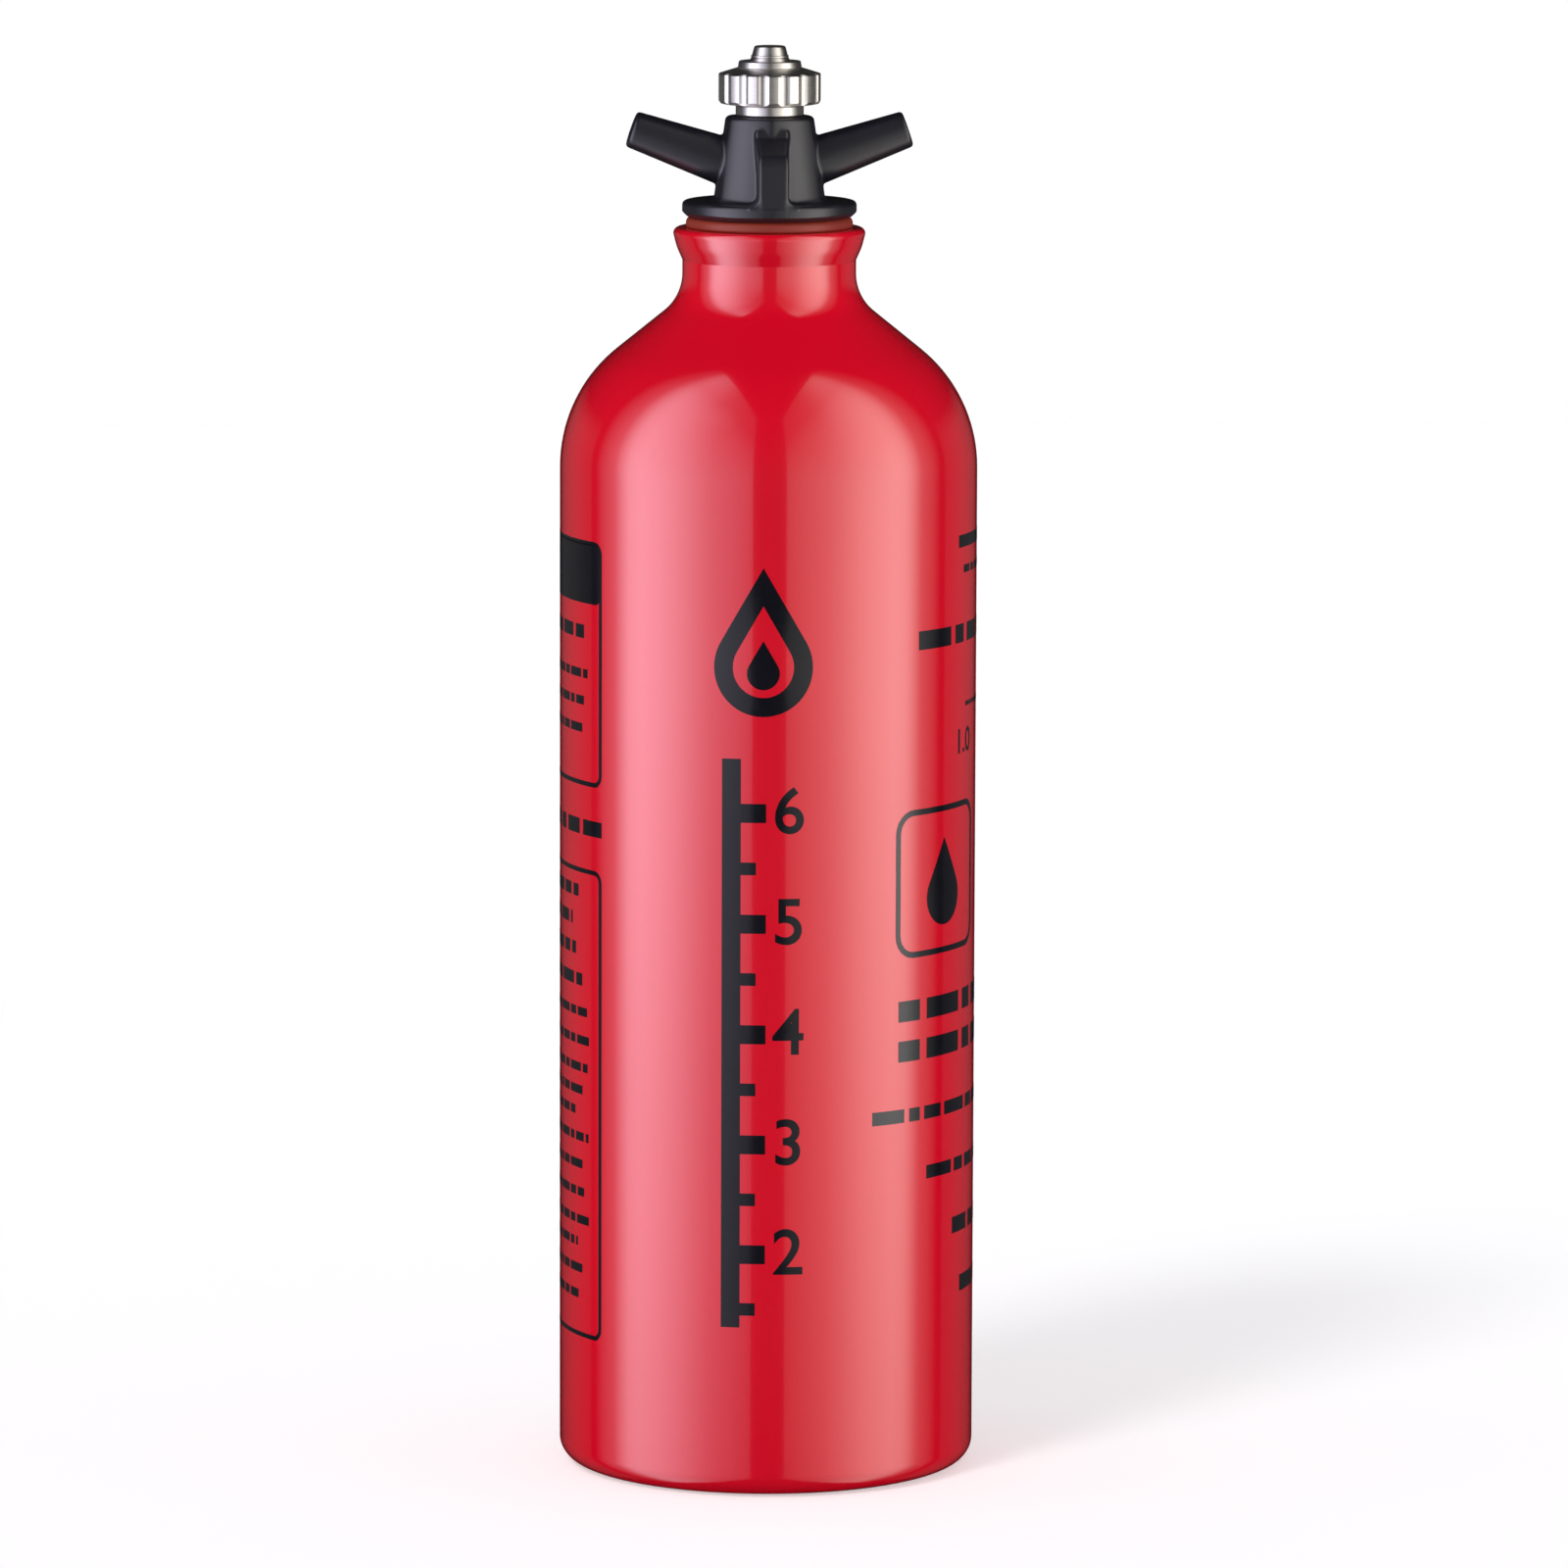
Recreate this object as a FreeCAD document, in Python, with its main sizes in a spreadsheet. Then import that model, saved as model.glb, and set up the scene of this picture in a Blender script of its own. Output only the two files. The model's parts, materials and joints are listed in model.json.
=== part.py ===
import FreeCAD, Part
import math
import os
import re

import Sketcher

# Driving dimensions in millimetres and degrees. Heights are steps from one feature to the next.
sizes = {
    # bottle: straight wall, base, shoulder, neck and lip
    "body_radius": 40.0,
    "body_wall": 1.2,
    "body_height": 193.1,
    "base_corner": 4.3,
    "base_thick": 2.0,
    "stand_width": 2.7,
    "punt_depth": 5.0,
    "punt_run": 8.0,
    "punt_round": 3.0,
    "shoulder_radius": 28.8,
    "shoulder_angle": 51.1,
    "neck_blend": 9.4,
    "neck_radius": 16.6,
    "neck_wall": 3.0,
    "neck_inner_blend": 1.0,
    "neck_length": 2.55,
    "lip_flare": 2.5,
    "lip_flare_width": 1.1,
    "lip_blend": 8.0,
    "lip_band": 3.7,
    "lip_band_width": 0.95,
    "lip_edge": 1.1,
    "mouth_chamfer": 0.6,
    # screw thread shared by the neck and the plug
    "thread_pitch": 2.5,
    "thread_depth": 1.0,
    "thread_mouth": 1.7,
    "thread_root": 1.0,
    "thread_gap": 0.3,
    "thread_turns": 2.2,
    "thread_start": 1.8,
    # flat seal under the stopper
    "gasket_thick": 2.2,
    "gasket_radius": 15.95,
    "gasket_round": 0.85,
    # stopper: flange, hub, plug, arms and ribs
    "flange_radius": 16.67,
    "flange_thick": 2.9,
    "flange_chamfer": 0.85,
    "flange_edge": 0.8,
    "hub_foot_radius": 10.7,
    "hub_top_radius": 8.4,
    "hub_height": 16.1,
    "hub_fillet": 1.2,
    "hub_edge": 0.8,
    "plug_length": 12.2,
    "plug_bore": 9.5,
    "plug_chamfer": 0.6,
    "arm_angle": 19.2,
    "arm_height": 4.5,
    "arm_reach": 27.95,
    "arm_base_radius": 5.23,
    "arm_tip_radius": 3.52,
    "arm_edge": 0.6,
    "arm_bore": 2.0,
    "arm_fillet": 1.0,
    "rib_width": 5.6,
    "rib_height": 8.8,
    "rib_slope": 33.0,
    "rib_edge": 1.2,
    "rib_fillet": 0.6,
    # valve inside the hub
    "floor_height": 4.0,
    "floor_thick": 5.5,
    "chamber_radius": 5.0,
    "seat_hole": 2.2,
    "seat_land": 1.0,
    "seat_rise": 0.6,
    "gland_radius": 5.6,
    "gland_depth": 6.2,
    "collar_radius": 6.5,
    "collar_height": 2.2,
    "collar_edge": 0.25,
    "seat_washer_radius": 3.5,
    "seat_washer_thick": 1.6,
    "jumper_radius": 3.9,
    "jumper_thick": 1.6,
    "jumper_stem": 1.25,
    "jumper_stem_length": 3.4,
    "screw_radius": 1.0,
    "screw_head_radius": 1.7,
    "screw_head_height": 0.9,
    "screw_length": 2.6,
    "screw_slot": 0.4,
    "spindle_radius": 2.4,
    "stud_radius": 2.0,
    "ring_section": 0.6,
    "gland_ring_drop": 3.9,
    "spindle_ring_drop": 0.8,
    "fit_gap": 0.05,
    # knob, its washer and its nut
    "knob_gap": 0.2,
    "knob_radius": 9.76,
    "knob_rim": 5.75,
    "knob_cone": 1.15,
    "knob_edge": 0.3,
    "knob_foot_round": 0.8,
    "flute_count": 15,
    "flute_depth": 0.4,
    "flute_radius": 1.8,
    "flute_angle": 13.94,
    "washer_radius": 6.1,
    "washer_draft": 0.2,
    "washer_thick": 1.25,
    "nut_ring_radius": 3.85,
    "nut_ring_height": 0.45,
    "nut_foot_radius": 3.6,
    "nut_top_radius": 2.95,
    "nut_height": 2.4,
    "nut_edge": 0.45,
    "nut_roof": 1.0,
}

doc = FreeCAD.newDocument("fuel_bottle")
sheet = doc.addObject("Spreadsheet::Sheet", "Sizes")
for row, (alias, number) in enumerate(sizes.items(), 1):
    sheet.set(f"A{row}", alias)
    sheet.set(f"B{row}", str(number))
    sheet.setAlias(f"B{row}", alias)
doc.recompute()

# Heights of the seams between pieces, as formulas of the sizes.
shoulder_corner = "(body_height + shoulder_radius * tan(shoulder_angle / 2))"
neck_corner = f"({shoulder_corner} + (body_radius - neck_radius) / tan(shoulder_angle))"
lip_crease = f"({neck_corner} + neck_blend * tan(shoulder_angle / 2) + neck_length)"
lip_top = f"({lip_crease} + lip_flare + lip_band)"
flange_foot = f"({lip_top} + gasket_thick)"
hub_top = f"({flange_foot} + flange_thick + hub_height)"
seat_top = f"({flange_foot} + floor_height + seat_rise)"
jumper_foot = f"({seat_top} + seat_washer_thick)"
spindle_foot = f"({jumper_foot} + jumper_thick)"
knob_foot = f"({hub_top} + collar_height + knob_gap)"
washer_foot = f"({knob_foot} + knob_rim + knob_cone)"
nut_foot = f"({washer_foot} + washer_thick)"


def bound(formula):
    return re.sub(r"[a-z_]{3,}", lambda word: f"Sizes.{word[0]}" if word[0] in sizes else word[0], formula)


def value(formula):
    return float(sheet.evalExpression(bound(formula)))


def piece(label, height="0"):
    body = doc.addObject("PartDesign::Body", label)
    body.Label = label
    body.setExpression("Placement.Base.z", bound(height))
    return body


def origin_feature(body, role):
    return next(feature for feature in body.Origin.OriginFeatures if feature.Role == role)


def new_sketch(body, name, plane):
    sketch = body.newObject("Sketcher::SketchObject", name)
    sketch.AttachmentSupport = (origin_feature(body, plane), [""])
    sketch.MapMode = "FlatFace"
    return sketch


def hold(sketch, kind, formula, *places):
    # A sketch dimension tied to a formula. A plain 0 puts the point on the sketch's own axis.
    if formula == "0":
        axis = -2 if kind == "DistanceX" else -1
        sketch.addConstraint(Sketcher.Constraint("PointOnObject", *places[-2:], axis))
        return
    index = sketch.addConstraint(Sketcher.Constraint(kind, *places, value(formula)))
    sketch.setExpression(f"Constraints[{index}]", bound(formula))


def outline(body, name, corners, plane="XZ_Plane"):
    # A closed outline through corners (across, up) or (across, up, radius), the last kind rounded by an arc.
    sketch = new_sketch(body, name, plane)
    spots = [FreeCAD.Vector(value(corner[0]), value(corner[1]), 0) for corner in corners]
    count = len(spots)
    entries, exits, centres = [], [], []
    for i, corner in enumerate(corners):
        arrive = (spots[i] - spots[i - 1]).normalize()
        leave = (spots[(i + 1) % count] - spots[i]).normalize()
        turn = math.atan2(arrive.cross(leave).z, arrive.dot(leave))
        radius = value(corner[2]) if len(corner) > 2 else 0
        setback = radius * math.tan(abs(turn) / 2)
        entries.append(spots[i] - arrive * setback)
        exits.append(spots[i] + leave * setback)
        side = math.copysign(radius, turn)
        centres.append(entries[i] + FreeCAD.Vector(-arrive.y, arrive.x, 0) * side)
    for i in range(count):
        sketch.addGeometry(Part.LineSegment(exits[i], entries[(i + 1) % count]))
    for i, corner in enumerate(corners):
        before = (i - 1) % count
        if len(corner) == 2:
            sketch.addConstraint(Sketcher.Constraint("Coincident", before, 2, i, 1))
            hold(sketch, "DistanceX", corner[0], -1, 1, i, 1)
            hold(sketch, "DistanceY", corner[1], -1, 1, i, 1)
            continue
        ends = [entries[i] - centres[i], exits[i] - centres[i]]
        left_turn = ends[0].cross(ends[1]).z > 0
        first, last = ends if left_turn else reversed(ends)
        circle = Part.Circle(centres[i], FreeCAD.Vector(0, 0, 1), ends[0].Length)
        first_angle = math.atan2(first.y, first.x)
        last_angle = math.atan2(last.y, last.x)
        arc = sketch.addGeometry(Part.ArcOfCircle(circle, first_angle, last_angle))
        mark = sketch.addGeometry(Part.Point(spots[i]), True)
        sketch.addConstraint(Sketcher.Constraint("Tangent", before, 2, arc, 1 if left_turn else 2))
        sketch.addConstraint(Sketcher.Constraint("Tangent", i, 1, arc, 2 if left_turn else 1))
        hold(sketch, "Radius", corner[2], arc)
        hold(sketch, "DistanceX", corner[0], -1, 1, mark, 1)
        hold(sketch, "DistanceY", corner[1], -1, 1, mark, 1)
        sketch.addConstraint(Sketcher.Constraint("PointOnObject", mark, 1, before))
        sketch.addConstraint(Sketcher.Constraint("PointOnObject", mark, 1, i))
    return sketch


def turned(body, corners, name="turned", kind="PartDesign::Revolution"):
    sketch = outline(body, f"{name}_outline", corners)
    feature = body.newObject(kind, name)
    feature.Profile = sketch
    feature.ReferenceAxis = (sketch, ["V_Axis"])
    feature.Angle = 360
    doc.recompute()
    return feature


def helix(body, corners, kind, turns):
    sketch = outline(body, "thread_outline", corners)
    feature = body.newObject(kind, "thread")
    feature.Profile = sketch
    feature.ReferenceAxis = (sketch, ["V_Axis"])
    feature.Mode = 0
    feature.setExpression("Pitch", bound("thread_pitch"))
    feature.setExpression("Height", bound(f"thread_pitch * ({turns})"))
    doc.recompute()
    return feature


def mirrored(body, feature, plane):
    copy = body.newObject("PartDesign::Mirrored", f"{feature.Name}_pair")
    copy.Originals = [feature]
    copy.MirrorPlane = (origin_feature(body, plane), [""])
    body.Tip = copy
    doc.recompute()
    return copy


# Bottle: one drawn shell, hollow, with a pushed-in base, a rounded shoulder and a threaded neck.
def make_bottle():
    body = piece("bottle_shell")
    bore = "(neck_radius - neck_wall)"
    stand = "body_radius - base_corner - stand_width"
    inner_shoulder = f"{shoulder_corner} - body_wall * tan(shoulder_angle / 2)"
    inner_neck = (f"{shoulder_corner} + ((body_radius - {bore}) * cos(shoulder_angle) - body_wall)"
                  " / sin(shoulder_angle)")
    turned(body, [
        ("0", "punt_depth"),
        (f"{stand} - punt_run", "punt_depth", "punt_round"),
        (stand, "0", "punt_round"),
        ("body_radius", "0", "base_corner"),
        ("body_radius", shoulder_corner, "shoulder_radius"),
        ("neck_radius", neck_corner, "neck_blend"),
        ("neck_radius", lip_crease),
        ("neck_radius + lip_flare_width", f"{lip_crease} + lip_flare", "lip_blend"),
        ("neck_radius + lip_flare_width + lip_band_width", lip_top, "lip_edge"),
        (f"{bore} + mouth_chamfer", lip_top),
        (bore, f"{lip_top} - mouth_chamfer"),
        (bore, inner_neck, "neck_inner_blend"),
        ("body_radius - body_wall", inner_shoulder, "shoulder_radius - body_wall"),
        ("body_radius - body_wall", "base_thick", "base_corner - body_wall"),
        (stand, "base_thick", "punt_round"),
        (f"{stand} - punt_run", "punt_depth + base_thick", "punt_round"),
        ("0", "punt_depth + base_thick"),
    ])
    # The groove starts one turn below the plug's thread, so that both are in step, and runs out of the mouth.
    middle = f"({flange_foot} - plug_length + thread_start - thread_pitch)"
    helix(body, [
        (f"{bore} - thread_gap", f"{middle} - thread_mouth / 2"),
        (bore, f"{middle} - thread_mouth / 2"),
        (f"{bore} + thread_depth", f"{middle} - thread_root / 2"),
        (f"{bore} + thread_depth", f"{middle} + thread_root / 2"),
        (bore, f"{middle} + thread_mouth / 2"),
        (f"{bore} - thread_gap", f"{middle} + thread_mouth / 2"),
    ], "PartDesign::SubtractiveHelix", f"({lip_top} - {middle}) / thread_pitch + 1")
    return body


# Flat seal with a bulged outer edge, between the lip and the flange.
def make_gasket():
    body = piece("stopper_gasket", lip_top)
    inside = "neck_radius - neck_wall"
    turned(body, [
        (inside, "0"),
        ("gasket_radius", "0", "gasket_round"),
        ("gasket_radius", "gasket_thick", "gasket_round"),
        (inside, "gasket_thick"),
    ])
    return body


# Stopper: plug, flange, hub, two spout arms and two ribs moulded as one. Its height 0 is the flange's foot.
def make_stopper():
    body = piece("stopper_body", flange_foot)
    core = "(neck_radius - neck_wall - thread_gap)"
    hub_height_all = "(flange_thick + hub_height)"
    turned(body, [
        ("0", "-plug_length"),
        (f"{core} - plug_chamfer", "-plug_length"),
        (core, "-plug_length + plug_chamfer"),
        (core, "0"),
        ("flange_radius - flange_chamfer", "0"),
        ("flange_radius", "flange_chamfer"),
        ("flange_radius", "flange_thick", "flange_edge"),
        ("hub_foot_radius", "flange_thick", "hub_fillet"),
        ("hub_top_radius", hub_height_all, "hub_edge"),
        ("0", hub_height_all),
    ])
    make_arms(body)
    make_ribs(body)
    round_arm_roots(body)
    turned(body, [
        ("0", "floor_height - floor_thick"),
        ("seat_hole", "floor_height - floor_thick"),
        ("seat_hole", "floor_height + seat_rise"),
        ("seat_hole + seat_land", "floor_height + seat_rise"),
        ("seat_hole + seat_land + seat_rise", "floor_height"),
        ("chamber_radius", "floor_height"),
        ("chamber_radius", f"{hub_height_all} - gland_depth"),
        ("gland_radius", f"{hub_height_all} - gland_depth"),
        ("gland_radius", f"{hub_height_all} + hub_edge"),
        ("0", f"{hub_height_all} + hub_edge"),
    ], "valve_chamber", "PartDesign::Groove")
    turned(body, [
        ("0", "-plug_length - plug_chamfer"),
        ("plug_bore", "-plug_length - plug_chamfer"),
        ("plug_bore", "floor_height - floor_thick"),
        ("0", "floor_height - floor_thick"),
    ], "plug_hollow", "PartDesign::Groove")
    bore_arms(body)
    # The ridge keeps the thread gap from the neck's groove on its crest and on both flanks.
    middle = "(thread_start - plug_length)"
    slant = "((thread_mouth - thread_root) / thread_depth)"
    foot_half = f"(thread_mouth / 2 - thread_gap + thread_gap * {slant} / 2)"
    crest_half = f"(thread_root / 2 - thread_gap + thread_gap * {slant} / 2)"
    crest = "(neck_radius - neck_wall + thread_depth - thread_gap)"
    helix(body, [
        (f"{core} - thread_gap", f"{middle} - {foot_half}"),
        (core, f"{middle} - {foot_half}"),
        (crest, f"{middle} - {crest_half}"),
        (crest, f"{middle} + {crest_half}"),
        (core, f"{middle} + {foot_half}"),
        (f"{core} - thread_gap", f"{middle} + {foot_half}"),
    ], "PartDesign::AdditiveHelix", "thread_turns")
    return body


def along_arm(distance, aside):
    # A point beside the arm's centre line, which leaves the stopper's axis at arm_height and rises outwards.
    across = f"({distance}) * cos(arm_angle) - ({aside}) * sin(arm_angle)"
    up = f"flange_thick + arm_height + ({distance}) * sin(arm_angle) + ({aside}) * cos(arm_angle)"
    return across, up


def arm_feature(body, name, kind, corners):
    sketch = outline(body, f"{name}_outline", corners)
    start = FreeCAD.Vector(*(value(formula) for formula in along_arm("0", "0")), 0)
    end = FreeCAD.Vector(*(value(formula) for formula in along_arm("arm_reach", "0")), 0)
    line = sketch.addGeometry(Part.LineSegment(start, end), True)
    for spot, distance in ((1, "0"), (2, "arm_reach")):
        across, up = along_arm(distance, "0")
        hold(sketch, "DistanceX", "0" if spot == 1 else across, -1, 1, line, spot)
        hold(sketch, "DistanceY", up, -1, 1, line, spot)
    feature = body.newObject(kind, name)
    feature.Profile = sketch
    feature.ReferenceAxis = (sketch, ["Axis0"])
    feature.Angle = 360
    doc.recompute()
    return feature


def make_arms(body):
    arm = arm_feature(body, "arm", "PartDesign::Revolution", [
        along_arm("0", "0"),
        along_arm("arm_reach", "0"),
        (*along_arm("arm_reach", "arm_tip_radius"), "arm_edge"),
        along_arm("0", "arm_base_radius"),
    ])
    mirrored(body, arm, "YZ_Plane")


def bore_arms(body):
    bore = arm_feature(body, "arm_hole", "PartDesign::Groove", [
        along_arm("0", "0"),
        along_arm("arm_reach + arm_edge", "0"),
        along_arm("arm_reach + arm_edge", "arm_bore"),
        along_arm("0", "arm_bore"),
    ])
    mirrored(body, bore, "YZ_Plane")


def make_ribs(body):
    face = "-sqrt(flange_radius ^ 2 - (rib_width / 2) ^ 2)"
    hub_slant = "((hub_foot_radius - hub_top_radius) / hub_height)"
    meet = "(rib_height + (flange_radius - hub_foot_radius) * tan(rib_slope))"
    back = f"(hub_foot_radius - {meet} * {hub_slant})"
    sketch = outline(body, "rib_outline", [
        (face, "flange_thick / 2"),
        (face, "flange_thick + rib_height", "rib_edge"),
        (f"-{back}", f"flange_thick + {meet}", "rib_fillet"),
        (f"-sqrt({back} ^ 2 - (rib_width / 2) ^ 2)", f"flange_thick + {meet} + rib_fillet"),
        ("0", f"flange_thick + {meet}"),
        ("0", "flange_thick / 2"),
    ], "YZ_Plane")
    rib = body.newObject("PartDesign::Pad", "rib")
    rib.Profile = sketch
    rib.Midplane = True
    rib.setExpression("Length", bound("rib_width"))
    doc.recompute()
    mirrored(body, rib, "XZ_Plane")


def round_arm_roots(body):
    # The roots are the edges off the stopper's axis where an arm's cone meets the hub's cone.
    base = body.Tip
    roots = []
    for number, edge in enumerate(base.Shape.Edges, 1):
        faces = base.Shape.ancestorsOfType(edge, Part.Face)
        cones = [face for face in faces if isinstance(face.Surface, Part.Cone)]
        if len(cones) == 2 and abs(edge.CenterOfMass.x) > value("chamber_radius"):
            roots.append(f"Edge{number}")
    rounding = body.newObject("PartDesign::Fillet", "arm_roots")
    rounding.Base = (base, roots)
    rounding.setExpression("Radius", bound("arm_fillet"))
    doc.recompute()


# Metal gland: a collar on the hub's top and a shank inside it, with a groove for each of its two seal rings.
def make_gland():
    body = piece("valve_gland", hub_top)
    shank = "(gland_radius - fit_gap)"
    bore = "(spindle_radius + fit_gap)"
    groove = "(2 * ring_section + 2 * fit_gap)"
    outer_groove = f"({shank} - {groove})"
    inner_groove = f"({bore} + {groove})"
    turned(body, [
        (bore, "-gland_depth"),
        (shank, "-gland_depth"),
        (shank, f"-gland_ring_drop - {groove} / 2"),
        (outer_groove, f"-gland_ring_drop - {groove} / 2"),
        (outer_groove, f"-gland_ring_drop + {groove} / 2"),
        (shank, f"-gland_ring_drop + {groove} / 2"),
        (shank, "0"),
        ("collar_radius", "0", "collar_edge"),
        ("collar_radius", "collar_height", "collar_edge"),
        (bore, "collar_height"),
        (bore, f"-spindle_ring_drop + {groove} / 2"),
        (inner_groove, f"-spindle_ring_drop + {groove} / 2"),
        (inner_groove, f"-spindle_ring_drop - {groove} / 2"),
        (bore, f"-spindle_ring_drop - {groove} / 2"),
    ])
    return body


# Rubber O-ring: a circle turned about the stopper's axis.
def make_ring(label, drop, centre):
    body = piece(label, f"{hub_top} - {drop}")
    sketch = new_sketch(body, "section", "XZ_Plane")
    middle = FreeCAD.Vector(value(centre), 0, 0)
    circle = Part.Circle(middle, FreeCAD.Vector(0, 0, 1), value("ring_section"))
    index = sketch.addGeometry(circle)
    hold(sketch, "Radius", "ring_section", index)
    hold(sketch, "DistanceX", centre, -1, 1, index, 3)
    hold(sketch, "DistanceY", "0", -1, 1, index, 3)
    ring = body.newObject("PartDesign::Revolution", "ring")
    ring.Profile = sketch
    ring.ReferenceAxis = (sketch, ["V_Axis"])
    ring.Angle = 360
    doc.recompute()
    return body


# Spindle: a stem through the gland, hollow at its foot for the jumper, stepped down to a stud for the knob.
def make_spindle():
    body = piece("valve_spindle", spindle_foot)
    socket = "(jumper_stem + fit_gap)"
    shoulder = f"({knob_foot} - {spindle_foot})"
    top = f"({nut_foot} + nut_height - nut_roof - fit_gap - {spindle_foot})"
    turned(body, [
        (socket, "0"),
        ("spindle_radius", "0"),
        ("spindle_radius", shoulder),
        ("stud_radius", shoulder),
        ("stud_radius", top),
        ("0", top),
        ("0", "jumper_stem_length + fit_gap"),
        (socket, "jumper_stem_length + fit_gap"),
    ])
    return body


# Jumper: the disc that carries the seat washer, with a stem that stands in the spindle's socket.
def make_jumper():
    body = piece("valve_jumper", jumper_foot)
    hole = "(screw_radius + fit_gap)"
    hole_top = "(screw_length - seat_washer_thick + fit_gap)"
    turned(body, [
        (hole, "0"),
        ("jumper_radius", "0"),
        ("jumper_radius", "jumper_thick"),
        ("jumper_stem", "jumper_thick"),
        ("jumper_stem", "jumper_thick + jumper_stem_length"),
        ("0", "jumper_thick + jumper_stem_length"),
        ("0", hole_top),
        (hole, hole_top),
    ])
    return body


def make_seat_washer():
    body = piece("seat_washer", seat_top)
    hole = "screw_radius + fit_gap"
    turned(body, [
        (hole, "0"),
        ("seat_washer_radius", "0"),
        ("seat_washer_radius", "seat_washer_thick"),
        (hole, "seat_washer_thick"),
    ])
    return body


# Slotted screw, head down, that holds the seat washer to the jumper.
def make_seat_screw():
    body = piece("seat_washer_screw", seat_top)
    turned(body, [
        ("0", "-screw_head_height"),
        ("screw_head_radius", "-screw_head_height"),
        ("screw_head_radius", "0"),
        ("screw_radius", "0"),
        ("screw_radius", "screw_length"),
        ("0", "screw_length"),
    ])
    side = "screw_slot / 2"
    sketch = outline(body, "slot_outline", [
        (f"-{side}", "-screw_head_height - screw_slot"),
        (side, "-screw_head_height - screw_slot"),
        (side, "-screw_head_height + screw_slot"),
        (f"-{side}", "-screw_head_height + screw_slot"),
    ])
    slot = body.newObject("PartDesign::Pocket", "slot")
    slot.Profile = sketch
    slot.Midplane = True
    slot.setExpression("Length", bound("4 * screw_head_radius"))
    doc.recompute()
    return body


# Knob: a turned wheel with a conical top, scalloped all round.
def make_knob():
    body = piece("knob_wheel", knob_foot)
    bore = "stud_radius + fit_gap"
    turned(body, [
        (bore, "0"),
        ("knob_radius", "0", "knob_foot_round"),
        ("knob_radius", "knob_rim", "knob_edge"),
        ("washer_radius", "knob_rim + knob_cone"),
        (bore, "knob_rim + knob_cone"),
    ])
    centre = "(knob_radius - flute_depth + flute_radius)"
    across = f"{centre} * sin(flute_angle)"
    back = f"-{centre} * cos(flute_angle)"
    sketch = new_sketch(body, "flute_outline", "XY_Plane")
    middle = FreeCAD.Vector(value(across), value(back), 0)
    circle = Part.Circle(middle, FreeCAD.Vector(0, 0, 1), value("flute_radius"))
    index = sketch.addGeometry(circle)
    hold(sketch, "Radius", "flute_radius", index)
    hold(sketch, "DistanceX", across, -1, 1, index, 3)
    hold(sketch, "DistanceY", back, -1, 1, index, 3)
    flute = body.newObject("PartDesign::Pocket", "flute")
    flute.Profile = sketch
    flute.Midplane = True
    flute.setExpression("Length", bound("4 * (knob_rim + knob_cone)"))
    doc.recompute()
    flutes = body.newObject("PartDesign::PolarPattern", "flutes")
    flutes.Originals = [flute]
    flutes.Axis = (origin_feature(body, "Z_Axis"), [""])
    flutes.Angle = 360
    flutes.setExpression("Occurrences", bound("flute_count"))
    body.Tip = flutes
    doc.recompute()
    return body


def make_knob_washer():
    body = piece("knob_washer", washer_foot)
    bore = "stud_radius + fit_gap"
    turned(body, [
        (bore, "0"),
        ("washer_radius", "0"),
        ("washer_radius - washer_draft", "washer_thick"),
        (bore, "washer_thick"),
    ])
    return body


# Cap nut: a ring at its foot, then a tapered nose, closed at the top.
def make_cap_nut():
    body = piece("knob_cap_nut", nut_foot)
    bore = "stud_radius + fit_gap"
    turned(body, [
        (bore, "0"),
        ("nut_ring_radius", "0"),
        ("nut_ring_radius", "nut_ring_height"),
        ("nut_foot_radius", "nut_ring_height"),
        ("nut_top_radius", "nut_height + nut_ring_height", "nut_edge"),
        ("0", "nut_height + nut_ring_height"),
        ("0", "nut_height - nut_roof"),
        (bore, "nut_height - nut_roof"),
    ])
    return body


gland_ring_centre = "gland_radius - 2 * fit_gap - ring_section"
spindle_ring_centre = "spindle_radius + 2 * fit_gap + ring_section"
pieces = [
    make_bottle(),
    make_gasket(),
    make_stopper(),
    make_gland(),
    make_ring("gland_seal_ring", "gland_ring_drop", gland_ring_centre),
    make_ring("spindle_seal_ring", "spindle_ring_drop", spindle_ring_centre),
    make_spindle(),
    make_jumper(),
    make_seat_washer(),
    make_seat_screw(),
    make_knob(),
    make_knob_washer(),
    make_cap_nut(),
]
doc.recompute()

failed = [thing.Name for thing in doc.Objects if {"Invalid", "Error"} & set(thing.State)]
failed += [body.Label for body in pieces if body.Shape.isNull() or not body.Shape.isValid()]
failed += [body.Label for body in pieces if len(body.Shape.Solids) != 1]
if failed:
    raise RuntimeError(f"These did not build: {failed}")

os.makedirs("parts", exist_ok=True)
for body in pieces:
    body.Shape.exportStep(f"parts/{body.Label}.step")
    box = body.Shape.BoundBox
    print(f"{body.Label:20s} {body.Shape.Volume:10.1f} mm3, z {box.ZMin:.2f} to {box.ZMax:.2f}")
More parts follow.
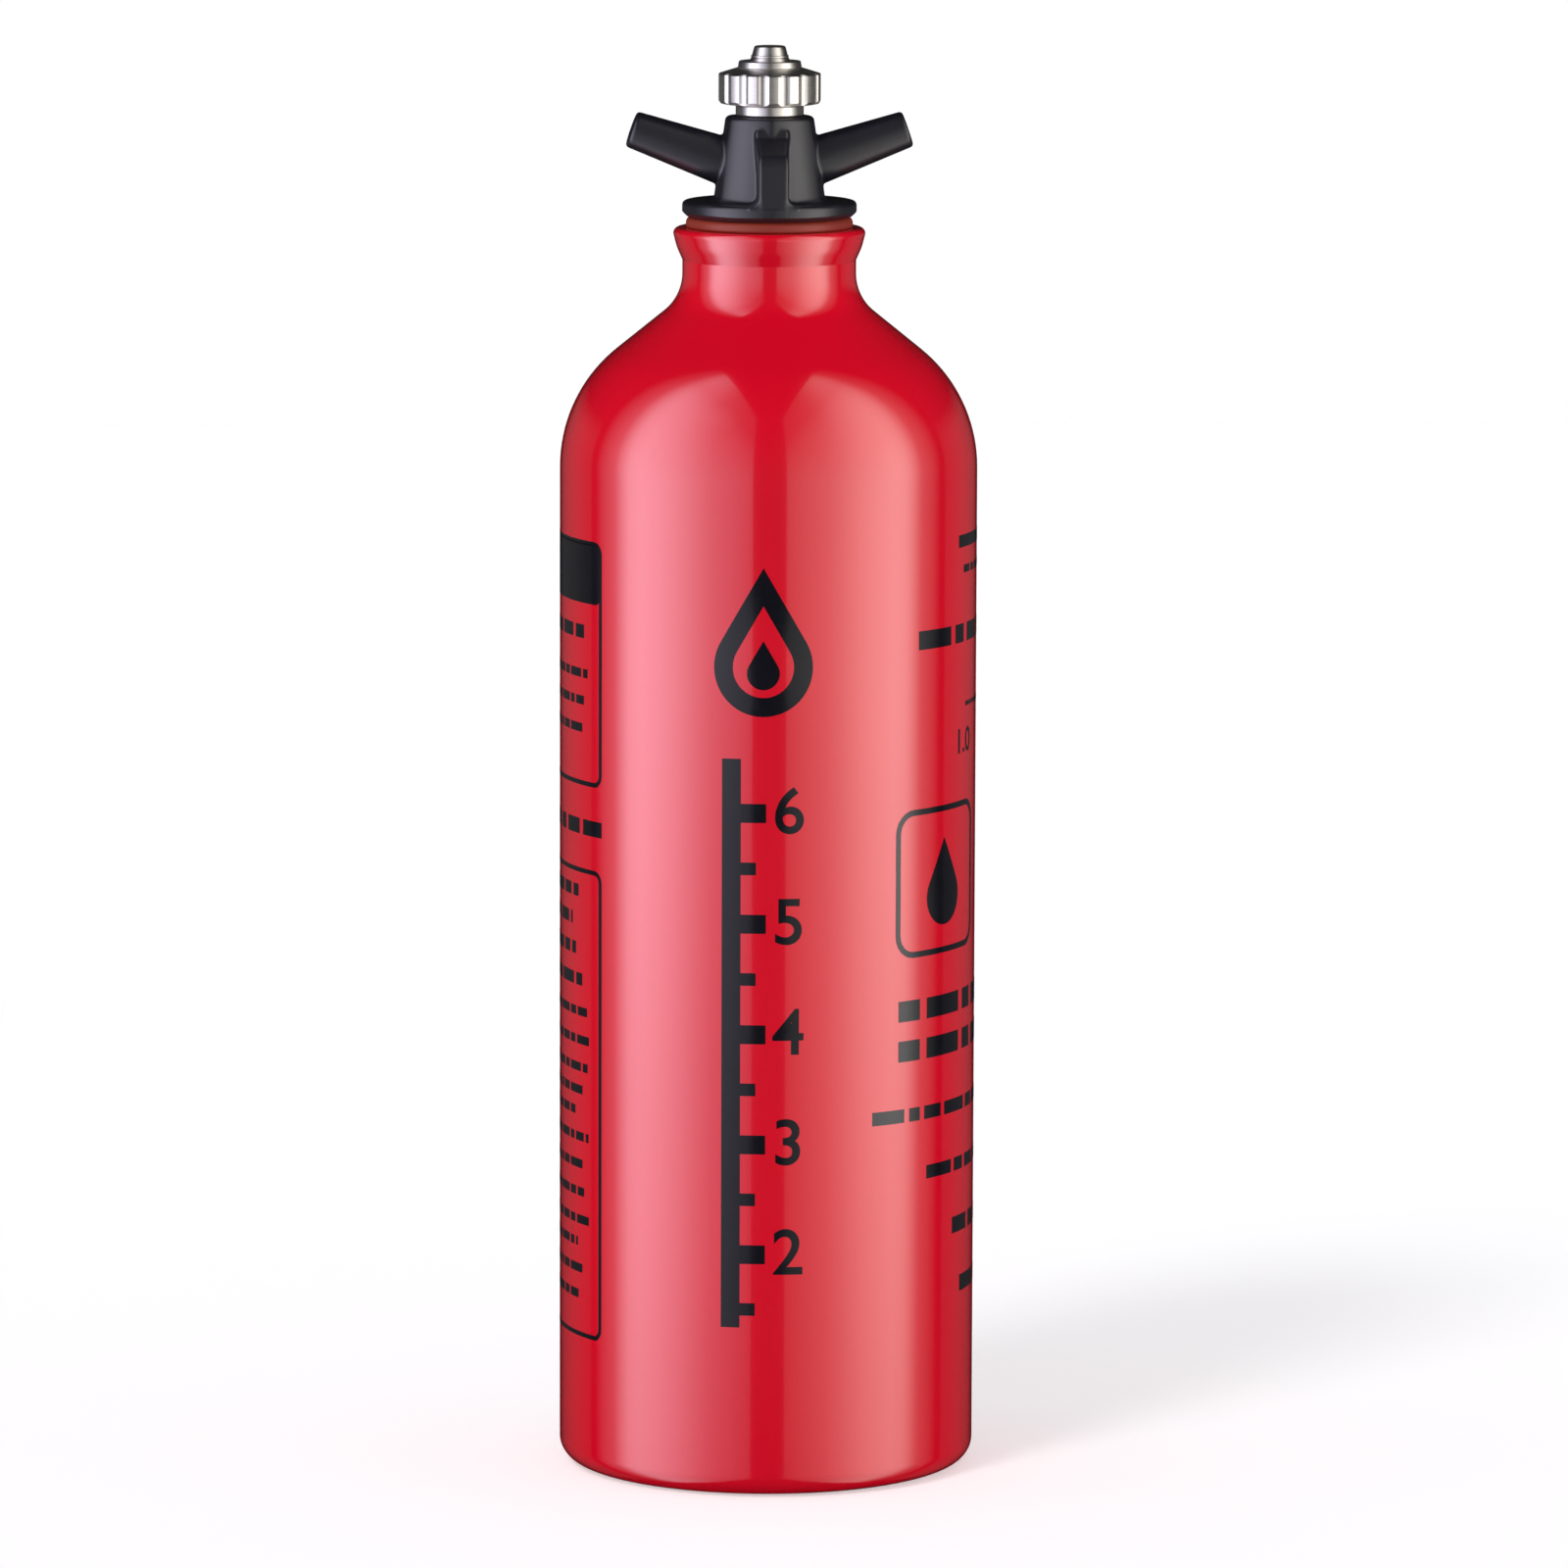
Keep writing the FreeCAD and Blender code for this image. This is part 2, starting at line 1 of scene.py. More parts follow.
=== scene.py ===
import bpy
import json
import math
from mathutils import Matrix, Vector

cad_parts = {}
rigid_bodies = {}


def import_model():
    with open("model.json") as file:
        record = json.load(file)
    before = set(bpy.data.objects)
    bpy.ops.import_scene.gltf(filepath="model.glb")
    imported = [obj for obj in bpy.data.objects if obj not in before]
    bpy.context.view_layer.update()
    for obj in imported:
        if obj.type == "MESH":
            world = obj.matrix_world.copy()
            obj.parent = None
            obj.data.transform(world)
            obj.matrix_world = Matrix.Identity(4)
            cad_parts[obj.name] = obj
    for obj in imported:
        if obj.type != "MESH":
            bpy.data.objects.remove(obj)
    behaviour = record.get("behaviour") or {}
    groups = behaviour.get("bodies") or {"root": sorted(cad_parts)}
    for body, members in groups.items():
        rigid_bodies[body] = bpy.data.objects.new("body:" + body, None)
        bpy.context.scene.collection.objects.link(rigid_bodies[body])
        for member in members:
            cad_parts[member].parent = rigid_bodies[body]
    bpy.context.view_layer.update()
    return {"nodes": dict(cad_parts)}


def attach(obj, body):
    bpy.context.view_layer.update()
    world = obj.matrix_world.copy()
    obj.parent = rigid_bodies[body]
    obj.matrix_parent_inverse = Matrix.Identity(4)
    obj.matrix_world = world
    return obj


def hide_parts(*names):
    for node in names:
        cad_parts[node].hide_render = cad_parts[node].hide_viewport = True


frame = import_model()
nodes = frame["nodes"]
mm = 0.001  # pieces and finishes are in millimetres and degrees, the stage in metres
tiny = 0.01  # a distance that counts as none
past = 1.0  # how far a cutter runs on past what it cuts, and a joined piece into its neighbour
weld = 0.002 * mm  # vertices closer than this become one
ringSteps = 96  # steps round the small turned pieces and bores
metalSmooth = 30  # edges sharper than this stay crisp on turned metal
bpy.context.scene.view_settings.view_transform = "Standard"
print("frame loaded:", len(nodes), "nodes")


def toLinear(code):  # sRGB hex to a linear colour
    parts = [int(code[i:i + 2], 16) / 255 for i in (0, 2, 4)]
    return [p / 12.92 if p < 0.04045 else ((p + 0.055) / 1.055) ** 2.4 for p in parts] + [1.0]


def addNode(tree, kind, settings=None, links=None):
    made = tree.nodes.new(kind)
    for name, value in (settings or {}).items():
        if isinstance(name, int) or name in made.inputs:
            made.inputs[name].default_value = value
        else:
            setattr(made, name, value)
    for name, source in (links or {}).items():
        tree.links.new(source, made.inputs[name])
    return made


def startMaterial(name):  # a material, its node tree, its shader and the piece's own coordinates
    material = bpy.data.materials.new(name)
    material.use_nodes = True
    tree = material.node_tree
    place = addNode(tree, "ShaderNodeTexCoord").outputs["Object"]
    return material, tree, tree.nodes["Principled BSDF"], place


def setRamp(ramp, stops):  # stops are (position, grey level)
    points = ramp.color_ramp.elements
    while len(points) < len(stops):
        points.new(0.5)
    for point, (position, level) in zip(points, stops):
        point.position = position
        point.color = (level, level, level, 1.0)


def pick(piece):  # nothing else selected, this one active
    bpy.ops.object.select_all(action="DESELECT")
    piece.select_set(True)
    bpy.context.view_layer.objects.active = piece


def applyModifier(piece, kind, **settings):
    modifier = piece.modifiers.new(kind.lower(), kind)
    for name, value in settings.items():
        setattr(modifier, name, value)
    pick(piece)
    bpy.ops.object.modifier_apply(modifier=modifier.name)


def combine(piece, other, operation):  # union or difference, and the second shape is used up
    applyModifier(piece, "BOOLEAN", operation=operation, object=other, solver="MANIFOLD")
    bpy.data.objects.remove(other)


def joinAll(name, parts):
    pick(parts[0])
    for part in parts[1:]:
        part.select_set(True)
    bpy.ops.object.join()
    parts[0].name = name
    return parts[0]


def smoothFaces(piece, angle):
    pick(piece)
    bpy.ops.object.shade_smooth_by_angle(angle=math.radians(angle))


def dress(piece, body, replaced, *materials):
    piece.data.materials.clear()
    for material in materials:
        piece.data.materials.append(material)
    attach(piece, body)
    if replaced:
        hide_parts(replaced)


def roundedPath(corners, arcStep=5.0, longest=6.0):
    # corners are (across, up) or (across, up, radius); arcs and long runs are cut into short steps
    longestOnArc = 1.5
    closeEnough = 1e-6
    spots = [Vector(corner[:2]) for corner in corners]
    turns = [spots[:1]]
    for i in range(1, len(spots) - 1):
        radius = corners[i][2] if len(corners[i]) > 2 else 0
        arrive = (spots[i] - spots[i - 1]).normalized()
        leave = (spots[i + 1] - spots[i]).normalized()
        turn = math.atan2(arrive.cross(leave), arrive.dot(leave))
        if not radius:
            turns.append([spots[i]])
            continue
        start = spots[i] - arrive * radius * math.tan(abs(turn) / 2)
        side = math.copysign(1, turn)
        middle = start + Vector((-arrive.y, arrive.x)) * radius * side
        count = max(math.ceil(math.degrees(abs(turn)) / arcStep),
                    math.ceil(abs(turn) * radius / longestOnArc))
        arm = start - middle
        arc = []
        for step in range(count + 1):
            a = turn * step / count
            arc.append(middle + Vector((arm.x * math.cos(a) - arm.y * math.sin(a),
                                        arm.x * math.sin(a) + arm.y * math.cos(a))))
        turns.append(arc)
    turns.append(spots[-1:])
    path = []
    for points in turns:
        if path:
            gap = points[0] - path[-1]
            count = max(1, math.ceil(gap.length / longest))
            path += [path[-1] + gap * step / count for step in range(1, count)]
            if gap.length < closeEnough:
                points = points[1:]
        path += points
    return path


def drawPath(name, path, plane="XZ"):  # one vertex, extruded along the path
    bpy.ops.object.select_all(action="DESELECT")
    bpy.ops.mesh.primitive_plane_add(size=mm, location=(0, 0, 0))
    piece = bpy.context.object
    piece.name = name
    bpy.ops.object.mode_set(mode="EDIT")
    bpy.ops.mesh.merge(type="CENTER")
    last = Vector((0, 0))
    for i, spot in enumerate(path):
        step = (spot - last) * mm
        move = {"value": (step.x, 0, step.y) if plane == "XZ" else (0, step.x, step.y)}
        if i == 0:
            bpy.ops.transform.translate(**move)
        else:
            bpy.ops.mesh.extrude_vertices_move(TRANSFORM_OT_translate=move)
        last = spot
    bpy.ops.mesh.select_all(action="SELECT")
    return piece


def lathe(name, path, steps=128):  # the path spun round the bottle's axis
    piece = drawPath(name, path)
    bpy.ops.mesh.spin(steps=steps, angle=math.tau, center=(0, 0, 0), axis=(0, 0, 1))
    bpy.ops.mesh.select_all(action="SELECT")
    bpy.ops.mesh.remove_doubles(threshold=weld)
    bpy.ops.mesh.normals_make_consistent(inside=False)
    bpy.ops.object.mode_set(mode="OBJECT")
    return piece


def closedLathe(name, corners, steps=128):  # a ring, whose path comes back to its start
    path = roundedPath(list(corners) + [corners[0]], arcStep=10.0)
    return lathe(name, path, steps)


def helixBar(name, section, turns, pitch):  # a thread's section swept up its helix, capped at both ends
    stepsPerTurn = 72
    steps = round(stepsPerTurn * turns)
    piece = drawPath(name, [Vector(spot) for spot in section] + [Vector(section[0])])
    bpy.ops.mesh.remove_doubles(threshold=weld)
    bpy.ops.object.mode_set(mode="OBJECT")
    applyModifier(piece, "SCREW", axis="Z", angle=math.tau * turns, screw_offset=pitch * turns * mm,
                  steps=steps, render_steps=steps, use_merge_vertices=False)
    bpy.ops.object.mode_set(mode="EDIT")
    bpy.ops.mesh.select_all(action="SELECT")
    bpy.ops.mesh.fill_holes(sides=0)
    bpy.ops.mesh.select_all(action="SELECT")
    bpy.ops.mesh.normals_make_consistent(inside=False)
    bpy.ops.object.mode_set(mode="OBJECT")
    return piece


# finishes
redCoat = {"base": "dd0024", "deep": "d30020", "ior": 1.55, "coatIor": 1.6, "coatRough": 0.05, "roughLow": 0.12,
           "roughHigh": 0.2, "cloud": 40.0, "peel": 1.6, "peelHeight": 0.0025, "peelStrength": 0.5}
inkCoat = {"base": "0c0c12", "worn": "14141c", "ior": 1.55, "rough": 0.14, "grain": 0.5, "grainHeight": 0.001}
blackNylon = {"base": "0b0a12", "worn": "12101c", "ior": 1.66, "rough": 0.36, "grain": 0.35,
              "grainHeight": 0.004}
sealSilicone = {"base": "80291c", "worn": "8c3324", "ior": 1.42, "rough": 0.4, "grain": 0.6,
                "grainHeight": 0.006}
nitrileRubber = {"base": "1d1d1d", "worn": "2a2a2a", "ior": 1.5, "rough": 0.55, "grain": 0.5,
                 "grainHeight": 0.006}
turnedSteel = {"base": "c7c4bf", "bright": "e0ddd8", "rough": 0.3, "ring": 0.22, "ringHeight": 0.0012}
turnedBrass = {"base": "c29a4f", "bright": "d8b56a", "rough": 0.28, "ring": 0.25, "ringHeight": 0.0015}
bareAluminium = {"base": "b8b8b6", "bright": "cfcfcd", "rough": 0.38, "ring": 0.6, "ringHeight": 0.002}
grained = {"cloud": 9, "roughSpread": 0.06, "strength": 0.6}  # a cloud is this many grains wide
turned = {"roughSpread": 0.07, "strength": 0.5}


def makeRedCoat():  # baked gloss enamel over aluminium: wet looking, even, with a faint orange peel
    look = redCoat
    material, tree, shader, place = startMaterial("red gloss enamel")
    shader.inputs["IOR"].default_value = look["ior"]
    shader.inputs["Coat Weight"].default_value = 1.0
    shader.inputs["Coat Roughness"].default_value = look["coatRough"]
    shader.inputs["Coat IOR"].default_value = look["coatIor"]
    cloud = addNode(tree, "ShaderNodeTexNoise", {"Scale": 1 / (look["cloud"] * mm), "Detail": 3.0},
                    {"Vector": place})
    tint = addNode(tree, "ShaderNodeMix",
                   {"data_type": "RGBA", 6: toLinear(look["base"]), 7: toLinear(look["deep"])},
                   {0: cloud.outputs["Fac"]})
    tree.links.new(tint.outputs[2], shader.inputs["Base Color"])
    rough = addNode(tree, "ShaderNodeMapRange", {"To Min": look["roughLow"], "To Max": look["roughHigh"]},
                    {"Value": cloud.outputs["Fac"]})
    tree.links.new(rough.outputs["Result"], shader.inputs["Roughness"])
    peel = addNode(tree, "ShaderNodeTexNoise", {"Scale": 1 / (look["peel"] * mm), "Detail": 1.0},
                   {"Vector": place})
    bump = addNode(tree, "ShaderNodeBump",
                   {"Strength": look["peelStrength"], "Distance": look["peelHeight"] * mm},
                   {"Height": peel.outputs["Fac"]})
    tree.links.new(bump.outputs["Normal"], shader.inputs["Normal"])
    tree.links.new(bump.outputs["Normal"], shader.inputs["Coat Normal"])
    return material


def makeGrained(name, look):  # moulded plastics, rubbers and ink: two close tones and a fine grain
    material, tree, shader, place = startMaterial(name)
    shader.inputs["IOR"].default_value = look["ior"]
    cloud = addNode(tree, "ShaderNodeTexNoise",
                    {"Scale": 1 / (grained["cloud"] * look["grain"] * mm), "Detail": 4.0}, {"Vector": place})
    tint = addNode(tree, "ShaderNodeMix",
                   {"data_type": "RGBA", 6: toLinear(look["base"]), 7: toLinear(look["worn"])},
                   {0: cloud.outputs["Fac"]})
    tree.links.new(tint.outputs[2], shader.inputs["Base Color"])
    grain = addNode(tree, "ShaderNodeTexNoise", {"Scale": 1 / (look["grain"] * mm), "Detail": 2.0},
                    {"Vector": place})
    spread = grained["roughSpread"]
    rough = addNode(tree, "ShaderNodeMapRange",
                    {"To Min": look["rough"] - spread, "To Max": look["rough"] + spread},
                    {"Value": grain.outputs["Fac"]})
    tree.links.new(rough.outputs["Result"], shader.inputs["Roughness"])
    bump = addNode(tree, "ShaderNodeBump",
                   {"Strength": grained["strength"], "Distance": look["grainHeight"] * mm},
                   {"Height": grain.outputs["Fac"]})
    tree.links.new(bump.outputs["Normal"], shader.inputs["Normal"])
    return material


def makeTurned(name, look):  # metal off a lathe: fine rings that follow the radius and the height
    material, tree, shader, place = startMaterial(name)
    shader.inputs["Metallic"].default_value = 1.0
    apart = addNode(tree, "ShaderNodeSeparateXYZ", links={"Vector": place})
    flat = addNode(tree, "ShaderNodeCombineXYZ", links={"X": apart.outputs["X"], "Y": apart.outputs["Y"]})
    radius = addNode(tree, "ShaderNodeVectorMath", {"operation": "LENGTH"}, {0: flat.outputs["Vector"]})
    rings = addNode(tree, "ShaderNodeCombineXYZ", links={"X": radius.outputs["Value"], "Z": apart.outputs["Z"]})
    lines = addNode(tree, "ShaderNodeTexNoise", {"Scale": 1 / (look["ring"] * mm), "Detail": 3.0},
                    {"Vector": rings.outputs["Vector"]})
    tint = addNode(tree, "ShaderNodeMix",
                   {"data_type": "RGBA", 6: toLinear(look["base"]), 7: toLinear(look["bright"])},
                   {0: lines.outputs["Fac"]})
    tree.links.new(tint.outputs[2], shader.inputs["Base Color"])
    spread = turned["roughSpread"]
    rough = addNode(tree, "ShaderNodeMapRange",
                    {"To Min": look["rough"] - spread, "To Max": look["rough"] + spread},
                    {"Value": lines.outputs["Fac"]})
    tree.links.new(rough.outputs["Result"], shader.inputs["Roughness"])
    bump = addNode(tree, "ShaderNodeBump",
                   {"Strength": turned["strength"], "Distance": look["ringHeight"] * mm},
                   {"Height": lines.outputs["Fac"]})
    tree.links.new(bump.outputs["Normal"], shader.inputs["Normal"])
    return material


redEnamel = makeRedCoat()
blackInk = makeGrained("black gloss screen ink", inkCoat)
nylon = makeGrained("black moulded nylon", blackNylon)
silicone = makeGrained("brown silicone seal", sealSilicone)
nitrile = makeGrained("black nitrile rubber", nitrileRubber)
steel = makeTurned("turned stainless steel", turnedSteel)
brass = makeTurned("turned brass", turnedBrass)
aluminium = makeTurned("drawn bare aluminium", bareAluminium)
print("finishes ready")

# stage: camera, floor, soft side panels, key lamp and the white behind
view = {"aside": -3.06, "right": 0.00315, "back": 1.91436, "up": 0.40373, "down": 8.09, "roll": 0.19,
        "lens": 230.75, "sensor": 36.0, "farthest": 50}
stance = math.radians(view["aside"])  # the stopper is screwed in a little past the viewer
bpy.ops.object.camera_add(location=(
    view["right"] * math.cos(stance) + view["back"] * math.sin(stance),
    view["right"] * math.sin(stance) - view["back"] * math.cos(stance), view["up"]))
camera = bpy.context.object
camera.rotation_mode = "XYZ"
camera.rotation_euler = (math.radians(90 - view["down"]), 0, stance)
camera.rotation_euler.rotate_axis("Z", math.radians(view["roll"]))
camera.data.lens = view["lens"]
camera.data.sensor_width = view["sensor"]
camera.data.clip_end = view["farthest"]
bpy.context.scene.camera = camera

room = {"behind": 1.0, "gloss": 0.007, "fill": 1.0, "fillUp": 0.27}
world = bpy.data.worlds.new("white room")
bpy.context.scene.world = world
world.use_nodes = True
tree = world.node_tree
tree.nodes.clear()
ray = addNode(tree, "ShaderNodeLightPath")
mirrorRay = addNode(tree, "ShaderNodeMath", {"operation": "MAXIMUM"},
                    {0: ray.outputs["Is Glossy Ray"], 1: ray.outputs["Is Transmission Ray"]})
apart = addNode(tree, "ShaderNodeSeparateXYZ",
                links={"Vector": addNode(tree, "ShaderNodeTexCoord").outputs["Generated"]})
upward = addNode(tree, "ShaderNodeMath", {"operation": "ABSOLUTE"}, {0: apart.outputs["Z"]})
amount = addNode(tree, "ShaderNodeMapRange", {"To Min": room["fill"], "To Max": room["fillUp"]},
                 {"Value": upward.outputs[0]})
fill = addNode(tree, "ShaderNodeBackground", {"Color": (1, 1, 1, 1)}, {"Strength": amount.outputs["Result"]})
dim = addNode(tree, "ShaderNodeBackground", {"Color": (1, 1, 1, 1), "Strength": room["gloss"]})
white = addNode(tree, "ShaderNodeBackground", {"Color": (1, 1, 1, 1), "Strength": room["behind"]})
around = addNode(tree, "ShaderNodeMixShader",
                 links={0: mirrorRay.outputs[0], 1: fill.outputs[0], 2: dim.outputs[0]})
seen = addNode(tree, "ShaderNodeMixShader",
               links={0: ray.outputs["Is Camera Ray"], 1: around.outputs[0], 2: white.outputs[0]})
addNode(tree, "ShaderNodeOutputWorld", links={"Surface": seen.outputs[0]})

bench = {"left": -0.16, "right": 1.1, "front": -0.135, "back": 1.9, "level": -0.0002, "tone": "dcdbdf",
         "rough": 0.9, "glow": 0.43}
bpy.ops.object.select_all(action="DESELECT")
bpy.ops.mesh.primitive_plane_add(size=1, location=((bench["left"] + bench["right"]) / 2,
                                                   (bench["front"] + bench["back"]) / 2, bench["level"]))
floor = bpy.context.object
floor.name = "floor"
floor.scale = (bench["right"] - bench["left"], bench["back"] - bench["front"], 1)
bpy.ops.object.transform_apply(location=True, rotation=True, scale=True)
floorPaint, tree, shader = startMaterial("white bench top")[:3]
shader.inputs["Base Color"].default_value = toLinear(bench["tone"])
shader.inputs["Roughness"].default_value = bench["rough"]
shader.inputs["Specular IOR Level"].default_value = 0.0
ray = addNode(tree, "ShaderNodeLightPath")
shown = addNode(tree, "ShaderNodeMath", {"operation": "MULTIPLY", 1: bench["glow"]},
                {0: ray.outputs["Is Camera Ray"]})
shader.inputs["Emission Color"].default_value = (1, 1, 1, 1)
tree.links.new(shown.outputs[0], shader.inputs["Emission Strength"])
floor.data.materials.append(floorPaint)
floor.visible_glossy = False

alongStops = [(0.03, 0.0), (0.11, 0.2), (0.16, 0.86), (0.2, 1.0), (0.26, 0.9), (0.31, 0.76), (0.39, 0.52),
              (0.47, 0.37), (0.56, 0.3), (0.74, 0.22), (1.0, 0.165)]
upStops = [(0.0, 0.35), (0.18, 0.55), (0.25, 0.7), (0.36, 1.0), (0.41, 1.0), (0.46, 0.92), (0.6, 0.66),
           (0.72, 0.38), (1.0, 0.3)]
dimAlong = [(0.0, 0.7), (0.2, 0.95), (1.0, 0.35)]
dimUp = [(0.0, 0.5), (0.45, 0.6), (0.7, 1.0), (0.93, 1.0), (1.0, 0.0)]
sidePanels = {
    "left": {"near": (-0.2385, 0.0737), "far": (-0.104, -0.73), "tint": (0.98, 0.96, 1.13, 1.0), "level": 3.1,
             "bottom": -0.35, "top": 0.96, "along": alongStops, "up": upStops},
    "right": {"near": (0.2385, 0.0737), "far": (0.126, -0.73), "tint": (1.0, 0.97, 0.93, 1.0), "level": 2.8,
              "bottom": -0.35, "top": 0.96, "along": alongStops, "up": upStops},
    "left_dim": {"near": (-0.2385, 0.0737), "far": (-0.2, 0.5), "tint": (1.0, 1.0, 1.0, 1.0), "level": 0.11,
                 "bottom": -0.35, "top": 0.285, "along": dimAlong, "up": dimUp},
    "right_dim": {"near": (0.2385, 0.0737), "far": (0.2, 0.5), "tint": (1.0, 1.0, 1.0, 1.0), "level": 0.11,
                  "bottom": -0.35, "top": 0.285, "along": dimAlong, "up": dimUp},
}


def makeSidePanel(name, look):  # a tall lit diffuser, brightest near the bottle, seen only in the gloss
    bpy.ops.object.select_all(action="DESELECT")
    bpy.ops.mesh.primitive_plane_add(size=1)
    panel = bpy.context.object
    panel.name = "panel_" + name
    for vertex in panel.data.vertices:
        x, y = look["near"] if vertex.co.x < 0 else look["far"]
        vertex.co = (x, y, look["bottom"] if vertex.co.y < 0 else look["top"])
    material = bpy.data.materials.new("diffuser " + name)
    material.use_nodes = True
    tree = material.node_tree
    tree.nodes.clear()
    apart = addNode(tree, "ShaderNodeSeparateXYZ",
                    links={"Vector": addNode(tree, "ShaderNodeTexCoord").outputs["Object"]})
    along = addNode(tree, "ShaderNodeMapRange", {"From Min": look["near"][1], "From Max": look["far"][1]},
                    {"Value": apart.outputs["Y"]})
    up = addNode(tree, "ShaderNodeMapRange", {"From Min": look["bottom"], "From Max": look["top"]},
                 {"Value": apart.outputs["Z"]})
    alongRamp = addNode(tree, "ShaderNodeValToRGB", links={"Fac": along.outputs["Result"]})
    upRamp = addNode(tree, "ShaderNodeValToRGB", links={"Fac": up.outputs["Result"]})
    setRamp(alongRamp, look["along"])
    setRamp(upRamp, look["up"])
    both = addNode(tree, "ShaderNodeMath", {"operation": "MULTIPLY"},
                   {0: alongRamp.outputs["Color"], 1: upRamp.outputs["Color"]})
    level = addNode(tree, "ShaderNodeMath", {"operation": "MULTIPLY", 1: look["level"]}, {0: both.outputs[0]})
    glow = addNode(tree, "ShaderNodeEmission", {"Color": look["tint"]}, {"Strength": level.outputs[0]})
    addNode(tree, "ShaderNodeOutputMaterial", links={"Surface": glow.outputs[0]})
    panel.data.materials.append(material)
    panel.rotation_euler = (0, 0, stance)
    panel.visible_camera = False
    panel.visible_diffuse = False
    panel.visible_shadow = False


for side, look in sidePanels.items():
    makeSidePanel(side, look)

lampAway = 2
lamps = {
    "key": {"aside": -34.5, "high": 46.0, "spread": 14.0, "level": 0.98, "shadow": True},
    "left": {"aside": -84.0, "high": 8.0, "spread": 20.0, "level": 0.65, "shadow": False},
    "right": {"aside": 78.0, "high": 8.0, "spread": 20.0, "level": 1.1, "shadow": False},
}
for name, look in lamps.items():
    aside, high = math.radians(look["aside"]) + stance, math.radians(look["high"])
    toLamp = Vector((math.sin(aside) * math.cos(high), -math.cos(aside) * math.cos(high), math.sin(high)))
    bpy.ops.object.light_add(type="SUN", location=toLamp * lampAway)
    lamp = bpy.context.object
    lamp.name = name + "_lamp"
    lamp.rotation_euler = toLamp.to_track_quat("Z", "Y").to_euler()
    lamp.data.energy = look["level"]
    lamp.data.angle = math.radians(look["spread"])
    lamp.data.use_shadow = look["shadow"]
    lamp.visible_glossy = False
print("stage ready")

# bottle: one drawn shell, outside, lip, threaded bore and inside in one turn
bottle = {"outside": 40, "wall": 39.96, "thick": 1.2, "straight": 193.1, "shoulder": 28.8, "slope": 51.1,
          "neckBlend": 9.4, "neck": 16.6, "bore": 13.6, "boreBlend": 1.0, "neckRun": 2.55, "flare": 2.5,
          "flareWide": 1.1, "flareBlend": 8.0, "band": 3.7, "bandWide": 0.95, "lipEdge": 1.1, "mouth": 0.6,
          "crease": 0.25, "corner": 4.3, "stand": 33.0, "punt": 25.0, "puntUp": 5.0, "puntRound": 3.0,
          "floor": 2.0, "steps": 192, "smooth": 24}
bare = {"inward": 0.2, "wallFrom": 8, "floorTilt": 0.3, "floorTop": 9}  # which faces are bare metal
thread = {"pitch": 2.5, "depth": 1.0, "mouth": 1.7, "root": 1.0, "gap": 0.3, "foot": 228.293, "turns": 5.28}
half = math.tan(math.radians(bottle["slope"] / 2))
steep = math.radians(bottle["slope"])
shoulderZ = bottle["straight"] + bottle["shoulder"] * half
neckZ = shoulderZ + (bottle["outside"] - bottle["neck"]) / math.tan(steep)
creaseZ = neckZ + bottle["neckBlend"] * half + bottle["neckRun"]
lipZ = creaseZ + bottle["flare"] + bottle["band"]
boreZ = shoulderZ + ((bottle["outside"] - bottle["bore"]) * math.cos(steep) - bottle["thick"]) / math.sin(steep)


def makeBottle():
    inside = bottle["wall"] - bottle["thick"]
    path = roundedPath([
        (0, bottle["puntUp"]),
        (bottle["punt"], bottle["puntUp"], bottle["puntRound"]),
        (bottle["stand"], 0, bottle["puntRound"]),
        (bottle["wall"], 0, bottle["corner"]),
        (bottle["wall"], shoulderZ, bottle["shoulder"]),
        (bottle["neck"], neckZ, bottle["neckBlend"]),
        (bottle["neck"], creaseZ, bottle["crease"]),
        (bottle["neck"] + bottle["flareWide"], creaseZ + bottle["flare"], bottle["flareBlend"]),
        (bottle["neck"] + bottle["flareWide"] + bottle["bandWide"], lipZ, bottle["lipEdge"]),
        (bottle["bore"] + bottle["mouth"], lipZ),
        (bottle["bore"], lipZ - bottle["mouth"]),
        (bottle["bore"], boreZ, bottle["boreBlend"]),
        (inside, shoulderZ - bottle["thick"] * half, bottle["shoulder"] - bottle["thick"]),
        (inside, bottle["floor"], bottle["corner"] - bottle["thick"]),
        (bottle["stand"], bottle["floor"], bottle["puntRound"]),
        (bottle["punt"], bottle["puntUp"] + bottle["floor"], bottle["puntRound"]),
        (0, bottle["puntUp"] + bottle["floor"]),
    ])
    shell = lathe("bottle", path, bottle["steps"])
    bore, middle = bottle["bore"], thread["foot"]
    groove = helixBar("groove", [
        (bore - thread["gap"], middle - thread["mouth"] / 2),
        (bore, middle - thread["mouth"] / 2),
        (bore + thread["depth"], middle - thread["root"] / 2),
        (bore + thread["depth"], middle + thread["root"] / 2),
        (bore, middle + thread["mouth"] / 2),
        (bore - thread["gap"], middle + thread["mouth"] / 2),
    ], thread["turns"], thread["pitch"])
    combine(shell, groove, "DIFFERENCE")
    smoothFaces(shell, bottle["smooth"])
    dress(shell, "bottle", "bottle_shell", redEnamel, aluminium)
    for face in shell.data.polygons:  # bare metal inside
        spot = face.center
        outward = face.normal.x * spot.x + face.normal.y * spot.y
        inward = outward < -bare["inward"] * math.hypot(spot.x, spot.y) and spot.z > bare["wallFrom"] * mm
        inFloor = face.normal.z > bare["floorTilt"] and spot.z < bare["floorTop"] * mm
        face.material_index = 1 if inward or inFloor else 0


makeBottle()
print("bottle made, lip at", round(lipZ, 2))

